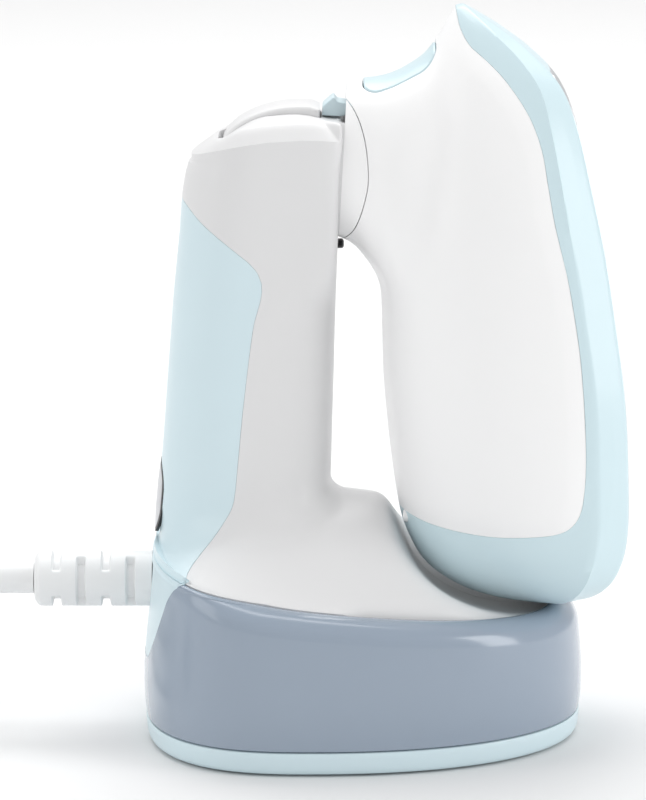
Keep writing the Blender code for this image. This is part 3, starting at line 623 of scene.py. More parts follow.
def coil_turns():
    """Two layers of turns, inwards below and outwards above, from the lead's arrival to the tail's start."""
    pitch = COIL_PITCH
    high = FLOOR_CORD + CORD_DIAMETER + 0.15
    per_turn = 40
    below, climb, leave = COIL_TURNS, 0.14, 6.6111
    inner = COIL_REACH - below * pitch
    points = []

    def add(turn, radius, z):
        angle = math.radians(-105.0) - TAU * turn
        x, y = radius * math.cos(angle), radius * math.sin(angle)
        points.append((COIL_CENTRE[0] + x, COIL_CENTRE[1] + y, z))

    for turn in np.arange(0.1, below, 1 / per_turn):
        join = 3.2 * (1 - ease(turn / 0.3))
        add(turn, COIL_REACH + join - pitch * turn, FLOOR_CORD)
    for turn in np.linspace(below, below + climb, 6, endpoint=False):
        add(turn, inner, FLOOR_CORD + (high - FLOOR_CORD) * ease((turn - below) / climb))
    for turn in np.arange(below + climb, leave, 1 / per_turn):
        add(turn, inner + pitch * (turn - below - climb), high)
    last = inner + pitch * (leave - below - climb)
    under = COIL_REACH - pitch * (leave % 1.0)
    for share in (0.25, 0.5, 0.75):
        lean = math.radians(8 + 82 * share)
        radius = max(under + (CORD_DIAMETER + 0.3) * math.sin(lean), last)
        add(leave + 0.083 * share, radius, FLOOR_CORD + (high - FLOOR_CORD) * math.cos(lean))
    return points


def lead_route():
    start = RELIEF_END - 0.3
    lead = [(start, 0, CORD_HEIGHT), (-97.0, 0, CORD_HEIGHT), (-105.5, -0.2, 36.6), (-116.0, -0.8, 31.8),
            (-126.0, -1.8, 23.6), (-136.0, -3.0, 14.6), (-146.0, -4.2, 7.6), (-155.0, -5.0, 4.6),
            (-164.0, -5.4, FLOOR_CORD), (-173.5, -4.6, FLOOR_CORD), (-181.3, -1.7, FLOOR_CORD)]
    tail_y, tail_z = PLUG_AXIS
    tail = [(-112.9, 56.3, FLOOR_CORD), (-111.2, 44.0, FLOOR_CORD), (-109.9, 32.0, FLOOR_CORD),
            (-109.3, 18.0, FLOOR_CORD), (-110.0, 4.0, FLOOR_CORD + 0.4), (-114.0, -11.0, 6.4),
            (-122.4, -23.0, 12.0), (-133.0, -30.0, 17.4), (PLUG_TAIL_X + 4.6, tail_y, tail_z),
            (PLUG_TAIL_X + 0.4, tail_y, tail_z)]
    return smooth_curve([*lead, *coil_turns(), *tail], 2.5)


def make_lead():
    route = lead_route()
    curve = bpy.data.curves.new("mains_lead", "CURVE")
    curve.dimensions = "3D"
    curve.bevel_depth = CORD_DIAMETER / 2 * MM
    curve.bevel_resolution = 6
    curve.use_fill_caps = True
    spline = curve.splines.new("POLY")
    spline.points.add(len(route) - 1)
    for place, point in zip(spline.points, route):
        place.co = (*(point * MM), 1.0)
    curve.materials.append(SHEATH)
    obj = put("mains_lead", curve)
    stands_for(obj, "handle", "cord_sheath", "cord_lead", "cord_coil", "cord_tail")
    with_pieces = [make_strain_relief(), make_plug(), *make_pins(), make_tie()]


def make_strain_relief():
    """A ribbed sleeve. Bridges cross its ring grooves, a quarter turn on from one groove to the next."""
    length, root, crest = 29.6, 5.2, 7.0

    def scale_at(turn, d):
        if d > length:
            return np.ones(len(turn))
        base = np.full(len(turn), crest * ease((d + 1.6) / 3.2) ** 0.35)
        for k in range(4):
            centre = 5.6 + 6.2 * k
            groove = 1 - ease((abs(d - centre) - 0.75) / 0.55)
            quarter = math.pi / 2 * (k % 2)
            bridge = ease((np.abs(np.cos(turn - quarter)) - 0.80) / 0.1)
            base = base - (crest - root) * groove * (1 - bridge)
        return base / crest

    steps = [(d, crest) for d in np.linspace(0, length, 180)]
    steps += [(length + 0.05, 5.0), (34.2, 5.0)]
    skin = lathe((RELIEF_END, 0, CORD_HEIGHT), (1, 0, 0), steps, 120, scale_at)
    return piece("ribbed_sleeve", skin, SHEATH, "handle", "cord_sheath", "strain_relief", sharp=50)


def make_plug():
    """A round two-pin plug: ribbed tail, waist with grip dishes, and a stepped head."""
    tail_y, tail_z = PLUG_AXIS
    profile = softened([(0, 4.6), (0, 5.4), (21, 7.4), (25, 11.0), (29, 13.4), (40, 15.2), (43, 18.4),
                        (PLUG_LENGTH, 18.6), (60, 17.4), (60, 15.4), (58.6, 15.2), (58.4, 2.0)], 1.4)

    def waist(turn, d):
        ribs = 1 - 0.07 * (math.sin(d * TAU / 3.6) > 0.2) * (3 < d < 20)
        dish = 0.16 * math.exp(-(((d - 35) / 5) ** 2))
        return ribs * (1 - dish * np.abs(np.cos(turn)) ** 3)

    fine = []
    for (d0, r0), (d1, r1) in zip(profile, profile[1:]):
        count = max(1, int(math.hypot(d1 - d0, r1 - r0) / 0.6))
        fine += [(d0 + (d1 - d0) * k / count, r0 + (r1 - r0) * k / count) for k in range(count)]
    skin = lathe((PLUG_TAIL_X, tail_y, tail_z), (-1, 0, 0), [*fine, profile[-1]], 96, waist)
    return piece("mains_plug", skin, SHEATH, "handle", "cord_sheath", "plug_body", sharp=50)


def make_pins():
    tail_y, tail_z = PLUG_AXIS
    profile = softened([(0, 1.4), (0, 2.4), (17.2, 2.4), (19.0, 1.0), (19.0, 0.2)], 0.9)
    made = []
    for k, y in enumerate((-9.5, 9.5), 1):
        skin = lathe((PLUG_TAIL_X - PLUG_LENGTH, tail_y + y, tail_z), (-1, 0, 0), profile, 40)
        made.append(piece(f"mains_pin_{k}", skin, STEEL, "handle", "steel", f"plug_pin_{k}"))
    return made


def make_tie():
    """A strap round the coil's turns, on the side away from the steamer."""
    clear = 5.6  # from the middle of a turn to the strap's outside
    outer = COIL_REACH - COIL_PITCH * 0.29 + clear
    inner = COIL_REACH - COIL_PITCH * COIL_TURNS - clear
    middle, half = (outer + inner) / 2, (outer - inner) / 2
    high = 2 * CORD_DIAMETER + 1.1
    outline = rounded(half, high / 2, 4.6, 8)
    turn = math.radians(150)
    radial = np.array([math.cos(turn), math.sin(turn), 0])
    side = np.array([-math.sin(turn), math.cos(turn), 0])
    centre = np.array([*COIL_CENTRE, high / 2])
    rings = []
    for width, inset in ((-4.4, 0.0), (-4.8, 0.35), (-4.4, 0.7), (4.4, 0.7), (4.8, 0.35), (4.4, 0.0)):
        scale = [(a * (half - inset) / half, b * (high / 2 - inset) / (high / 2)) for a, b in outline]
        rings.append([centre + radial * (a + middle) + np.array([0, 0, b]) + side * width for a, b in scale])
    points, faces = grid([*rings, rings[0]])
    count = len(rings) * len(outline)
    faces = [tuple(v % count for v in face) for face in faces]
    return piece("coil_tie", (points[:count], faces), BLACK, "handle", "dark_plastic")


# ---- base


def plan(turn, inset):
    """Points on the base's outline, moved in by the inset."""
    front, rear, half = BASE_FRONT - inset, BASE_REAR - inset, BASE_HALF - inset
    x, y = power_point(turn, front, rear, half, FRONT_POWER, REAR_POWER)
    return BASE_X + x, y


def nest_height(x, y):
    """Height of the hollow that the lower end of the head swings through."""
    centre_x, centre_z, reach_x, reach_z, power = 35.0, 58.0, 33.2, 26.6, 2.2
    u = np.where(x < centre_x, np.abs(x - centre_x) / reach_x, 0.0)
    low = centre_z - reach_z * np.clip(1 - u**power, 0, 1) ** (1 / power)
    reach = SWIVEL[2] - low
    hollow = SWIVEL[2] - np.sqrt(np.maximum(reach**2 - y**2, 0.0))
    return np.where(u >= 1, centre_z + 4.0 * (centre_x - reach_x - x), hollow)


def smooth_least(a, b, blend):
    h = np.maximum(blend - np.abs(a - b), 0.0) / blend
    return np.minimum(a, b) - h * h * blend / 4


def rim_inset(turn):
    """The tank's shoulder is broad at the sides and narrows towards the tail."""
    return RIM_INSET - 4.6 * ease((-np.cos(turn) - 0.2) / 0.5)


def rim_height(x):
    return 33.6 + 0.1 * (41.0 - x) + 0.0017 * np.maximum(0.0, -15.0 - x) ** 2


def deck_height(x, y):
    """Height of the white deck: a dome that falls to the rim, with the nest in its front."""
    rim = rim_height(x)
    half = BASE_HALF - RIM_INSET
    behind = np.clip((BASE_X - x) / (BASE_REAR - REAR_INSET), 0, None)
    ahead = np.clip((x - BASE_X) / (BASE_FRONT - RIM_INSET), 0, 1)
    q_rear = (behind**REAR_POWER + (np.abs(y) / half) ** REAR_POWER) ** (1 / REAR_POWER)
    q_front = np.abs(y) / (half * (1 - ahead**FRONT_POWER) ** (1 / FRONT_POWER) + 0.01)
    q = np.clip(np.where(x < BASE_X, q_rear, q_front), 0, 1)
    dome = rim + (59.4 - 0.1 * x - rim) * (1 - q**2) ** 1.2
    return smooth_least(dome, nest_height(x, y), 3.0)


def rim_point(turn):
    """The deck's edge. Behind, it comes out flush with the tank's wall."""
    flush = np.clip((np.maximum(0.0, -np.cos(turn)) - NOTCH_TOP) / 0.006, 0, 1)
    return plan(turn, rim_inset(turn) * (1 - flush) + REAR_INSET * flush)


def handle_point(turn, z):
    rear, front = smooth_table(HANDLE_REAR, z), smooth_table(HANDLE_FRONT, z)
    squared = 2.6 + 7.0 * ease((z - 108.0) / 14.0)
    x, y = power_point(turn, 0.5, 0.5, HANDLE_HALF, squared, HANDLE_POWER)
    return rear + (front - rear) * (x + 0.5), y


def ring_of(x, y, z):
    return np.stack([x, y, z + 0 * x], axis=1)


def cap_edge_height(x):
    """The edge of the handle's top is a shallow arch that falls to the rear."""
    return 151.0 - 0.0065 * (x + 21.0) ** 2


def body_skin():
    turn = turns(224)
    rim_x, rim_y = rim_point(turn)
    foot_x, foot_y = handle_point(turn, 62.0)
    edge = rim_inset(turn)
    level = deck_height(*plan(turn, edge))
    rings = [ring_of(*plan(turn, edge + 0.8), WALL_FOOT)]
    rings.append(ring_of(*plan(turn, edge + 0.6), level - 3.0))
    rings.append(ring_of(*plan(turn, edge + 0.1), level - 0.6))
    for s in 1 - (1 - np.linspace(0, 1, 56)) ** 1.15:
        x, y = rim_x + (foot_x - rim_x) * s, rim_y + (foot_y - rim_y) * s
        away = (1 - s) * np.hypot(foot_x - rim_x, foot_y - rim_y)
        corner = 3.0 + 6.0 * np.abs(np.sin(turn))
        upturned = corner - np.sqrt(np.maximum(corner**2 - (corner - away) ** 2, 0))
        lift = np.where(away < corner, upturned, 0.0)
        rings.append(ring_of(x, y, deck_height(x, y) + lift))
    foot = rings[-1][:, 2]
    levels = [foot + (GRIP_FOOT - foot) * share for share in (0.2, 0.4, 0.6, 0.8)]
    for z in [*levels, *np.linspace(GRIP_FOOT, GRIP_TOP, 30)]:
        rings.append(ring_of(*handle_point(turn, z), z))
    return skin_of([*rings, *cap_rings(turn)], (-25, 0, 90))


CAP_MIDDLE = -30.6  # x of the point that the rings of the handle's top close in on
CAP_STEPS = (-1.6, -0.8, 0.0, 0.12, 0.25, 0.5, 0.9, 1.4, 2.2, 3.2, 3.7, 4.2, 5.0, 6.0, 7.5, 9.0, 11.0, 13.0,
             15.5, 17.8)
SIDE_LIFT = [(0.0, 0.0), (0.5, 0.56), (1.4, 1.55), (3.2, 3.45), (4.2, 4.0), (6.0, 4.5), (9.0, 5.3),
             (13.0, 6.2), (17.8, 6.6)]
REAR_LIFT = [(0.0, 0.0), (0.5, 0.3), (1.4, 0.8), (3.2, 1.5), (4.2, 2.0), (6.0, 3.2), (9.0, 5.0), (13.0, 6.2),
             (17.8, 6.8)]
FRONT_LIFT = [(0.0, 0.0), (0.12, 2.6), (0.5, 3.9), (1.4, 4.3), (3.2, 4.5), (4.2, 4.6), (6.0, 4.8), (9.0, 5.3),
              (13.0, 6.2), (17.8, 6.6)]
# The slot for the lever: half its width, and the height of its edge at each x
SLOT_HALF = 8.6
SLOT_EDGE = [(-50.0, 149.6), (-42.6, 150.2), (-40.8, 150.6), (-37.1, 152.9), (-33.0, 155.2), (-29.5, 156.6),
             (-25.0, 157.0), (-20.0, 156.7), (-17.5, 155.7), (-15.0, 155.1), (-8.0, 154.9)]


def cap_rings(turn):
    """The handle's top: a rounded corner, a chamfer band and a low crown round the lever.

    The lift tables give the height over the edge at each step inwards, for the sides, rear and front.
    """
    edge_x, edge_y = handle_point(turn, 152.0)
    rear = ease((-np.cos(turn) - 0.55) / 0.4)
    front = ease((np.cos(turn) - 0.72) / 0.22)
    rings = []
    for step in CAP_STEPS:
        share = 1 - max(step, 0.0) / HANDLE_HALF
        x, y = CAP_MIDDLE + (edge_x - CAP_MIDDLE) * share, edge_y * share
        lift = smooth_table(SIDE_LIFT, step) * (1 - rear - front)
        lift = lift + smooth_table(REAR_LIFT, step) * rear + smooth_table(FRONT_LIFT, step) * front
        z = cap_edge_height(x) + lift + min(step, 0.0)
        if step > 2.0:
            beside = 0.02 * np.maximum(np.abs(y) - SLOT_HALF, 0.0) ** 2
            z = smooth_least(z, smooth_table(SLOT_EDGE, x) + beside, 1.0)
        rings.append(ring_of(x, y, z))
    return rings


# Where the rear panel meets the white shells in side view (x, z)
PANEL_LINE = [(-75.0, 141.5), (-60.0, 139.0), (-52.0, 135.6), (-45.9, 129.9), (-38.4, 124.0), (-34.2, 120.6),
              (-31.9, 117.6), (-31.3, 114.4), (-31.9, 110.6), (-33.6, 104.0), (-36.0, 84.8), (-37.4, 70.5),
              (-38.4, 61.5), (-40.4, 57.2), (-43.7, 52.6), (-46.8, 49.2), (-48.8, 47.0), (-49.9, 44.8),
              (-50.3, 40.0), (-50.4, 20.0)]


def make_halves(name, node, shell, wall, material, body, sharp=SHARP):
    """The left and right halves of a white shell."""
    for side, hand in ((1, "left"), (-1, "right")):
        half = trim(*shell, lambda p, side=side: p[:, 1] * side, HALF_SEAM)
        piece(f"{name}_{hand}", thicken(*half, wall), material, body, "white_plastic", f"{node}_{hand}",
              sharp=sharp)


def plan_box_level(low, high, radius):
    """Distance outside a rounded rectangle in plan: positive outside."""
    middle = (np.array(low) + np.array(high)) / 2
    half = (np.array(high) - np.array(low)) / 2 - radius

    def level(p):
        away = np.abs(p[:, :2] - middle) - half
        outer = np.linalg.norm(np.maximum(away, 0), axis=1) + np.minimum(away.max(axis=1), 0)
        return outer - radius

    return level


SEAM = 0.07  # from a part line to the start of its chamfered lip
HALF_SEAM = 0.09  # the same where two halves of a shell meet
WALL = 1.7
ANYWHERE = 5.0  # a level that keeps the place, whatever the rest of the test says


def make_body():
    points, faces = body_skin()
    x, z = points[:, 0], points[:, 2]
    near_nest = ease((x + 11.0) / 5.0) * ease((62.0 - z) / 3.0) * ease((z - 31.0) / 4.0)
    points = relaxed(points, faces, near_nest, 24)
    panel_level = line_level(curve_through(PANEL_LINE, 10), (-60, 90))
    slot = plan_box_level((-42.2, -SLOT_HALF), (-16.7, SLOT_HALF), 2.2)
    shell = trim(points, faces, lambda p: -panel_level(p), SEAM)
    shell = trim(*shell, lambda p: np.where(p[:, 2] > 140, slot(p), ANYWHERE))
    make_halves("handle_shell", "body_shell", shell, WALL, SHADED_WHITE, "handle", sharp=28)
    panel = trim(points, faces, panel_level, SEAM)
    panel = trim(*panel, lambda p: behind(p, oval_level(p, BUTTON_Z, BUTTON[0] + 0.06, BUTTON[1] + 0.06)))
    piece("rear_cover", thicken(*panel, WALL), BLUE, "handle", "light_blue_plastic", "rear_panel")
    make_tongue()
    floor_of_slot()


def behind(p, level):
    """The level, but only on the side that the lead leaves from."""
    return np.where(p[:, 0] < -40, level, ANYWHERE)


def oval_level(p, centre_z, half_y, half_z):
    """Distance outside an upright slot with round ends, seen from behind."""
    straight = np.maximum(np.abs(p[:, 2] - centre_z) - (half_z - half_y), 0.0)
    return np.hypot(p[:, 1], straight) - half_y


def floor_of_slot():
    """The well under the lever."""
    outline = [(a - 23.4, b) for a, b in rounded(17.4, 8.5, 2.4)]
    skin = padded_prism(outline, 141.0, 144.2, 0.4, lambda a, b, h: (a, b, h))
    piece("lever_well", skin, SHADED_WHITE, "handle", "white_plastic")


def make_tongue():
    """The pale blue tail of the rear panel that fills the notch in the tank."""
    turn = turns(400)
    low = 19.6
    top = rim_height(plan(turn, REAR_INSET)[0]) - 0.3
    rings = []
    for share in np.linspace(0, 1, 44):
        z = low + (top - low) * share
        inset = -0.35 + 2.25 * ease((low + 27.0 * share - 16.0) / 30.0)
        rings.append(ring_of(*plan(turn, inset), z))
    points, faces = skin_of(rings, (0, 0, 30))
    notch = notch_level(turn)
    points, faces = trim(points, faces, lambda p: -notch(p), 0.12)
    points, faces = trim(points, faces, lambda p: behind(p, oval_level(p, CORD_HEIGHT, 5.5, 5.5)))
    piece("rear_tongue", thicken(points, faces, 2.4), BLUE, "handle", "light_blue_plastic")


# The notch in the tank's rear wall: how far round the tail it reaches (1 is the middle) at each height
NOTCH = [(19.9, 1.02), (20.6, 0.982), (22.5, 0.959), (26.1, 0.924), (30.0, 0.898), (33.0, 0.878),
         (36.0, 0.850), (40.0, 0.809), (43.0, 0.77), (45.0, NOTCH_TOP), (60.0, NOTCH_TOP)]


def notch_level(turn):
    """Positive outside the notch, for a skin whose rings follow these turns."""
    rearward = np.maximum(-np.cos(turn), 0.0)

    def level(p):
        limit = np.where(p[:, 2] < NOTCH[0][0], 1.1, smooth_table(NOTCH, p[:, 2]))
        return (limit - np.tile(rearward, len(p) // len(turn))) * 38

    return level


def make_tank():
    turn = turns(320)
    edge = rim_inset(turn)
    rim = rim_height(plan(turn, edge)[0])
    rings = []
    for inset, z in ((0.0, 6.6), (-0.1, 7.4), (-0.4, 10.0), (-0.5, 14.0), (-0.45, 18.0), (-0.2, 22.0)):
        rings.append(ring_of(*plan(turn, inset), z))
    for k in range(1, 17):
        lean = math.pi / 2 * k / 16
        inset = 0.3 + (edge - 1.2) * (1 - math.cos(lean)) ** 1.05
        drop = 6.4 * (1 - math.sin(lean)) + 0.2
        rings.append(ring_of(*plan(turn, inset), rim - drop))
    rings.append(ring_of(*plan(turn, edge - 0.3), rim - 0.22))
    rings.append(ring_of(*plan(turn, edge - 0.12), rim - 0.35))
    rings.append(ring_of(*plan(turn, edge - 0.1), rim - 4.0))
    rings.append(ring_of(*plan(turn, edge - 0.1), WALL_FOOT))
    wall = trim(*skin_of(rings, (0, 0, 25)), notch_level(turn), SEAM)
    piece("tank_wall", thicken(*wall, 2.0), SLATE, "tank", "tank_plastic", "water_tank")
    rings = [ring_of(*plan(turn, inset), z) for z, inset in ((7.2, 6.0), (7.0, 2.4), (8.8, 2.2), (9.0, 6.0))]
    piece("tank_floor", skin_of(rings, (0, 0, 8), capped=True), SLATE, "tank", "tank_plastic")


def make_tank_base():
    turn = turns(256)
    steps = ((0.5, 7.0), (0.5, 2.2), (0.55, 1.6), (0.7, 1.1), (1.0, 0.7), (1.5, 0.4), (2.2, 0.2), (3.2, 0.1),
             (4.4, 0.0), (5.7, -0.05), (6.0, 0.05), (6.15, 0.3))
    rings = [ring_of(*plan(turn, inset), z) for z, inset in steps]
    band = skin_of(rings, (0, 0, 3), capped=True)
    piece("base_band", band, BLUE, "tank", "light_blue_plastic", "tank_base")
    profile = softened([(0, 0.2), (0, 4.0), (0.5, 4.9), (2.4, 4.9)], 0.4)
    for k in range(1, 5):
        low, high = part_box(f"foot_{k}")
        x, y = (low.x + high.x) / 2 / MM, (low.y + high.y) / 2 / MM
        skin = lathe((x, y, 0), (0, 0, 1), profile, 48)
        piece(f"rubber_foot_{k}", skin, SILICONE, "tank", "grey_rubber", f"foot_{k}")


# ---- head

HEAD_STATIONS = [
    # rear x, rear z, front x, front z, half width
    (32.8, 33.5, 34.4, 33.4, 0.8),
    (26.0, 34.6, 41.0, 33.6, 9.0),
    (16.6, 38.0, 48.2, 35.6, 19.5),
    (9.2, 43.2, 53.6, 39.6, 27.0),
    (5.2, 49.6, 57.2, 46.0, 32.0),
    (2.6, 57.6, 58.9, 56.0, 35.0),
    (0.3, 73.0, 58.7, 72.6, 36.0),
    (-1.4, 91.0, 57.6, 90.0, 36.0),
    (-1.9, 107.0, 55.2, 107.5, 35.0),
    (-1.9, 122.0, 52.6, 124.0, 33.2),
    (-0.6, 138.0, 49.2, 140.0, 30.4),
    (1.0, 152.0, 45.8, 154.0, 26.4),
    (4.4, 163.4, 42.0, 163.6, 22.0),
    (8.4, 170.0, 35.3, 170.8, 17.4),
    (11.4, 174.4, 28.0, 176.4, 12.8),
    (13.8, 178.6, 22.0, 180.2, 8.2),
    (15.4, 181.6, 18.6, 182.2, 4.0),
    (16.6, 182.4, 17.4, 182.5, 0.8),
]
WIDEST = 0.84  # share of the depth at which the head is widest
CHAMFER = (8.2, 5.6)  # how far the frame's front chamfer reaches back and in
CROWN = 0.7  # how far the middle of the front stands out


def head_section(station, rear_count=96, front_count=26):
    """A closed ring: round behind, a chamfer at each side of a nearly flat front."""
    xr, zr, xf, zf, half = station
    depth = math.hypot(xf - xr, zf - zr)
    in_y = min(CHAMFER[1], 0.4 * half)
    in_x = min(CHAMFER[0], 0.16 * depth) * in_y / CHAMFER[1]
    widest = WIDEST * depth
    turn = np.linspace(-math.pi / 2, -3 * math.pi / 2, rear_count)
    power = 2.25
    c, s = np.cos(turn), np.sin(turn)
    rear_u = widest - widest * np.abs(c) ** (2 / power)
    rear_y = half * np.sign(s) * np.abs(s) ** (2 / power)
    crown = CROWN * min(1.0, in_x / CHAMFER[0])
    flat = half - in_y
    corner = [(widest, half), (depth - in_x, half - 0.25), (depth - crown, flat)]
    corner += [(depth - crown * t * t, flat * t) for t in (0.8, 0.6, 0.4, 0.2, 0.0)]
    corner = softened(corner, min(1.1, 0.3 * in_y + 0.05), 5)
    along = np.concatenate([[0], np.cumsum([math.dist(a, b) for a, b in zip(corner, corner[1:])])])
    face_from = (along[-1] - flat) / along[-1]
    side_share = np.linspace(0, face_from, front_count, endpoint=False)
    at = np.concatenate([side_share, np.linspace(face_from, 1.0, front_count // 2)]) * along[-1]
    fu = np.interp(at, along, [p[0] for p in corner])
    fy = np.interp(at, along, [p[1] for p in corner])
    u = np.concatenate([rear_u, fu[1:], fu[-2:0:-1]]) / depth
    y = np.concatenate([rear_y, fy[1:], -fy[-2:0:-1]])
    return np.stack([xr + (xf - xr) * u, y, zr + (zf - zr) * u], axis=1)


def head_skin():
    rings = [head_section(s) for s in curve_through(HEAD_STATIONS, 9)]
    return skin_of(rings, (30, 0, 100), capped=True)


NECK_STATIONS = [
    # x, bottom z, top z, half width
    (-20.0, 126.0, 157.0, 14.6),
    (-14.0, 125.6, 160.0, 15.2),
    (-9.4, 123.6, 164.4, 15.8),
    (-5.8, 119.6, 164.4, 17.4),
    (-2.4, 114.2, 164.6, 19.4),
    (2.6, 105.0, 166.4, 22.0),
    (7.6, 100.0, 169.4, 22.5),
    (14.0, 98.0, 170.0, 22.0),
]


def neck_skin():
    turn = turns(160)
    rings = []
    for x, low, high, half in curve_through(NECK_STATIONS, 8):
        y, z = power_point(turn, half, half, (high - low) / 2, 2.4, 2.4)
        rings.append(ring_of(x + 0 * y, y, (low + high) / 2 + z))
    return skin_of(rings, (0, 0, 140), capped=True)


# Where the pale blue surround meets the white shells in side view (x, z)
FRAME_LINE = [(-24.0, 59.4), (-8.0, 58.6), (2.0, 57.8), (9.7, 56.4), (18.0, 55.5), (26.0, 55.2),
              (34.0, 55.7), (40.0, 56.6), (43.6, 58.3), (45.8, 61.4), (46.8, 66.0), (47.2, 74.0),
              (46.9, 84.0), (46.2, 94.0), (45.1, 104.0), (42.6, 118.5), (39.4, 132.0), (37.6, 142.0),
              (36.4, 149.0), (34.2, 155.6), (31.2, 161.0), (27.1, 166.4), (23.2, 170.2), (19.4, 173.4),
              (17.4, 176.6), (16.4, 180.0), (15.6, 186.0), (15.0, 192.0)]
TRIGGER_LOW, TRIGGER_HIGH = (-6.6, -10.2), (11.0, 10.2)  # the trigger's opening in plan
COLLAR_LINE = [(-12.6, 124.0), (-10.6, 126.0), (-8.8, 128.4), (-7.2, 132.4), (-5.9, 137.4), (-5.4, 141.3),
               (-5.6, 146.0), (-6.2, 150.4), (-7.2, 154.2), (-8.6, 157.4), (-10.4, 159.8), (-13.0, 161.6)]
COLLAR_SEAM = 0.16
ROOT_TOP = 154.9  # the neck's fixed root ends here, under the latch
VALLEY_DEPTH = 0.62


def clearance_level(p):
    """Distance in front of the face that turns against the handle."""
    return (p - SWIVEL) @ SWIVEL_AXIS - 0.6


def valley(points, level):
    """Press a shallow valley into the head's sides along the line where shell and surround meet."""
    away = level(points)
    beside = ease((np.abs(points[:, 1]) - 2.0) / 6.0)
    shell_side = np.clip(1 - away / 4.6, 0, 1) ** 1.4
    surround_side = np.clip(1 + away / 7.0, 0, 1)
    depth = VALLEY_DEPTH * np.where(away > 0, shell_side, surround_side) * beside
    made = points.copy()
    made[:, 1] -= np.sign(points[:, 1]) * depth
    return made


def make_head():
    front_points, front_faces = head_skin()
    points, faces = remeshed([(front_points, front_faces), neck_skin()], 0.62)
    faces = outward(points, faces, (30, 0, 100))
    near = ease((20.0 - points[:, 0]) / 8.0) * ease((points[:, 2] - 90.0) / 10.0)
    points = relaxed(points, faces, near, 90)
    points = relaxed(points, faces, np.ones(len(points)), 3)
    white_level = line_level(curve_through(FRAME_LINE, 8), (20, 100))
    collar_level = line_level(curve_through(COLLAR_LINE, 8), (-12, 142))
    opening = plan_box_level(TRIGGER_LOW, TRIGGER_HIGH, 4.2)

    def over_opening(p):
        return np.where(p[:, 2] > 150, opening(p), ANYWHERE)

    root = trim(points, faces, lambda p: np.minimum(-clearance_level(p), ROOT_TOP - p[:, 2]), 0.1)
    piece("neck_root", thicken(*root, 1.4), SHADED_WHITE, "handle", "white_plastic")
    points, faces = trim(points, faces, clearance_level)
    points, front_points = valley(points, white_level), valley(front_points, white_level)
    white = trim(points, faces, white_level, SEAM)
    collar = trim(*white, collar_level, COLLAR_SEAM)
    white = trim(*white, lambda p: -collar_level(p), COLLAR_SEAM)
    button = trim(*white, lambda p: -over_opening(p), 0.4)
    white = trim(*white, over_opening, 0.3)
    make_halves("steam_head_shell", "head_shell", white, 0.9, LIT_HEAD_WHITE, "head")
    piece("swivel_collar", thicken(*collar, 1.6), LIT_HEAD_WHITE, "head", "white_plastic", "neck_collar")
    piece("steam_trigger", thicken(*button, 2.2, 0.3), FRAME_BLUE, "trigger", "light_blue_plastic", "trigger")
    make_neck_face()
    make_frame(front_points, front_faces, white_level)
    make_plate(front_points, front_faces)


def make_neck_face():
    """The wall that closes the head's end, a little way inside the collar."""
    y, z = power_point(turns(96), 15.0, 15.0, 19.4, 2.4, 2.4)
    up = np.array([-SWIVEL_AXIS[2], 0.0, SWIVEL_AXIS[0]])
    centre = SWIVEL + 4.1 * up

    def place(a, b, h):
        return tuple(centre + SWIVEL_AXIS * h + np.array([0.0, a, 0.0]) + up * b)

    skin = padded_prism(list(zip(y, z)), 3.5, 4.7, 0.3, place)
    piece("neck_face", skin, LIT_HEAD_WHITE, "head", "white_plastic")


def plate_level(p):
    """Positive inside the steam plate's outline, seen from the front."""
    heights = [((s[1] + s[3]) / 2, s[4]) for s in HEAD_STATIONS]
    z = p[:, 2]
    margin, low, round_foot, top = 6.4, 44.6, 4.6, 167.0
    half = smooth_table(heights, z) - margin
    foot = np.sqrt(np.clip(1 - ((low - z) / round_foot) ** 2, 0, 1))
    half = np.where(z < low, half * foot - 0.2, half)
    inside = np.where(z < low - round_foot, -1.0, half - np.abs(p[:, 1]))
    front = smooth_table([(s[3], s[2]) for s in HEAD_STATIONS], z)
    return np.minimum(np.minimum(inside, top - z), p[:, 0] - front + 5.0)


EYE = (3.95, 9.0, 56.0)  # a small eye low on each side of the surround's rear


def eye_level(p):
    """Distance outside the eyes' openings."""
    return np.hypot(np.abs(p[:, 1]) - EYE[1], p[:, 2] - EYE[2]) - 1.45


def make_frame(points, faces, white_level):
    part = trim(points, faces, lambda p: -white_level(p), SEAM)
    part = trim(*part, lambda p: -plate_level(p), 0.1)
    part = trim(*part, lambda p: np.where(p[:, 0] < 12, eye_level(p), ANYWHERE), 0.05)
    piece("head_surround", thicken(*part, WALL), FRAME_BLUE, "head", "light_blue_plastic", "head_frame")
    rim = [(0.1, 1.0), (-0.25, 1.15), (-0.25, 1.5), (0.1, 1.62), (1.6, 1.6)]
    # The black disc in each eye is painted shade: it stands in for the dark inside the hole.
    hole_shade_disc = softened([(-0.3, 0.02), (-0.3, 0.8), (0.0, 1.12), (1.5, 1.12)], 0.2)
    for side in (1, -1):
        start, axis = (EYE[0] + 0.15, side * EYE[1], EYE[2]), (1, side * 0.24, 0.08)
        piece(f"eye_ring_{side + 2}", lathe(start, axis, rim, 48), LIT_HEAD_WHITE, "head", "white_plastic")
        piece(f"eye_{side + 2}", lathe(start, axis, hole_shade_disc, 40), BLACK, "head", "dark_plastic")


def steam_holes():
    rows = [(72.0, 2), (90.0, 3), (108.0, 2), (126.0, 3), (144.0, 2)]
    return [((k - (count - 1) / 2) * 16.0, z) for z, count in rows for k in range(count)]


def make_plate(points, faces):
    part = trim(points, faces, plate_level, 0.45)
    plate = as_object("soleplate", *thicken(*part, 2.4, 0.5), PLATE)
    drills = [lathe((30, y, z), (1, 0, 0), [(0, 1.3), (34, 1.3)], 24) for y, z in steam_holes()]
    cut_out(plate, as_object("holes", *together(drills), PLATE))
    stands_for(plate, "head", "aluminium", "steam_plate")


# ---- lever, latch, button, bumper


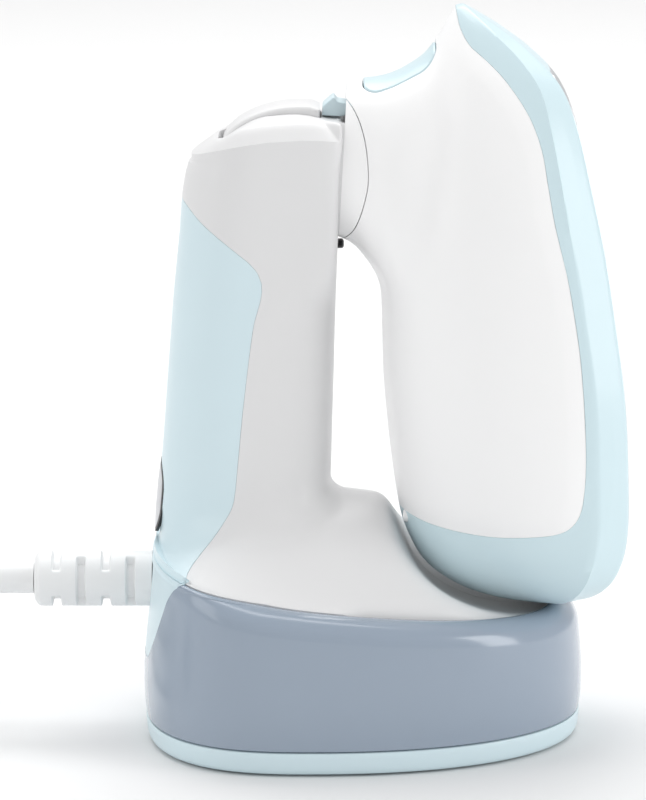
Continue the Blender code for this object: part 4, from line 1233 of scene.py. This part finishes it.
def make_lever():
    dome = curve_through([(-41.1, 147.0), (-41.1, 149.4), (-40.0, 152.0), (-37.0, 154.9), (-32.4, 157.2),
                          (-27.2, 158.6), (-22.1, 159.0), (-19.2, 158.9)], 8)
    front_and_foot = [(-17.2, 158.1), (-17.2, 150.6), (-26.0, 149.6), (-39.0, 146.0)]
    outline = [*map(tuple, dome), *front_and_foot]
    half = 8.2
    points, faces = padded_prism(outline, -half, half, 1.2, lambda a, b, h: (a, h, b), 6)
    upper = ease((points[:, 2] - 149.0) / 3.0)
    points[:, 2] -= 0.9 * (points[:, 1] / half) ** 2 * upper
    piece("lock_rocker", (points, faces), SHADED_WHITE, "lock_lever", "white_plastic", "lock_lever")
    tooth = softened([(-16.6, 155.6), (-16.5, 157.9), (-13.8, 160.2), (-12.9, 159.0), (-9.6, 158.4),
                      (-8.9, 156.2), (-12.0, 155.3), (-16.6, 155.6)], 0.5)
    skin = padded_prism(tooth[:-1], -5.0, 5.0, 0.35, lambda a, b, h: (a, h, b), 3)
    piece("latch_tooth", skin, BLUE, "lock_lever", "light_blue_plastic", "lock_latch")


def rear_patch(lift):
    """A fine patch of the handle's rear face, raised by a height that depends on the place."""
    y, z = np.meshgrid(np.linspace(-9.6, 9.6, 97), np.linspace(49.0, 70.4, 108))
    rear, front = smooth_table(HANDLE_REAR, z), smooth_table(HANDLE_FRONT, z)
    level = (1 - np.abs(y / HANDLE_HALF) ** HANDLE_POWER) ** (1 / HANDLE_POWER)
    x = rear + (front - rear) * 0.5 * (1 - level)
    points = np.stack([x, y, z], axis=2)
    flat = points.reshape(-1, 3)
    flat[:, 0] -= lift(flat)
    return skin_of(flat.reshape(points.shape), (0, 0, 60), closed=False)


def make_button():
    rim, gap = 0.75, 0.38
    outer = lambda p: oval_level(p, BUTTON_Z, *BUTTON)
    inner = lambda p: oval_level(p, BUTTON_Z, BUTTON[0] - rim, BUTTON[1] - rim)
    crown = lambda p: 0.1 + 0.35 * np.clip(-inner(p) / 5.0, 0, 1) ** 0.5
    ring = trim(*trim(*rear_patch(lambda p: 0.12), lambda p: -outer(p)), inner)
    piece("button_ring", thicken(*ring, 0.8), BLACK, "handle", "dark_plastic", "power_bezel")
    cap = thicken(*trim(*rear_patch(crown), lambda p: -inner(p), gap), 3.0, 0.12)
    piece("button_cap", cap, SILVER, "power_button", "silver_plastic", "power_button")


def make_bumper():
    profile = softened([(0, 0.1), (0, 1.1), (1.7, 1.1), (2.1, 0.7), (2.1, 0.1)], 0.4)
    points, faces = lathe((-13.3, 0, 123.1), (1, 0, 0.03), profile, 40)
    points[:, 1] *= 3.6
    piece("rest_bumper", (points, faces), BLACK, "handle", "dark_plastic", "stop_bumper")


def finish_hidden_nodes():
    """The pieces inside, and the small ones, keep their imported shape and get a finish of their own."""
    finishes = {
        "white_plastic": SHADED_WHITE,
        "light_blue_plastic": BLUE,
        "tank_plastic": SLATE,
        "dark_plastic": BLACK,
        "steel": STEEL,
        "aluminium": CAST,
        "silver_plastic": SILVER,
        "grey_rubber": SILICONE,
        "cord_sheath": SHEATH,
        "circuit_board": BOARD,
    }
    for row in frame["record"]["subparts"]:
        node = frame["nodes"][row["node"]]
        node.data.materials.clear()
        node.data.materials.append(finishes[row["material_slot"]])
    for name, node in frame["nodes"].items():
        if "screw" in name:
            node.data.materials.clear()
            node.data.materials.append(SCREW)


make_camera()
make_studio()
make_lead()
make_body()
make_tank()
make_tank_base()
make_head()
make_lever()
make_button()
make_bumper()
finish_hidden_nodes()
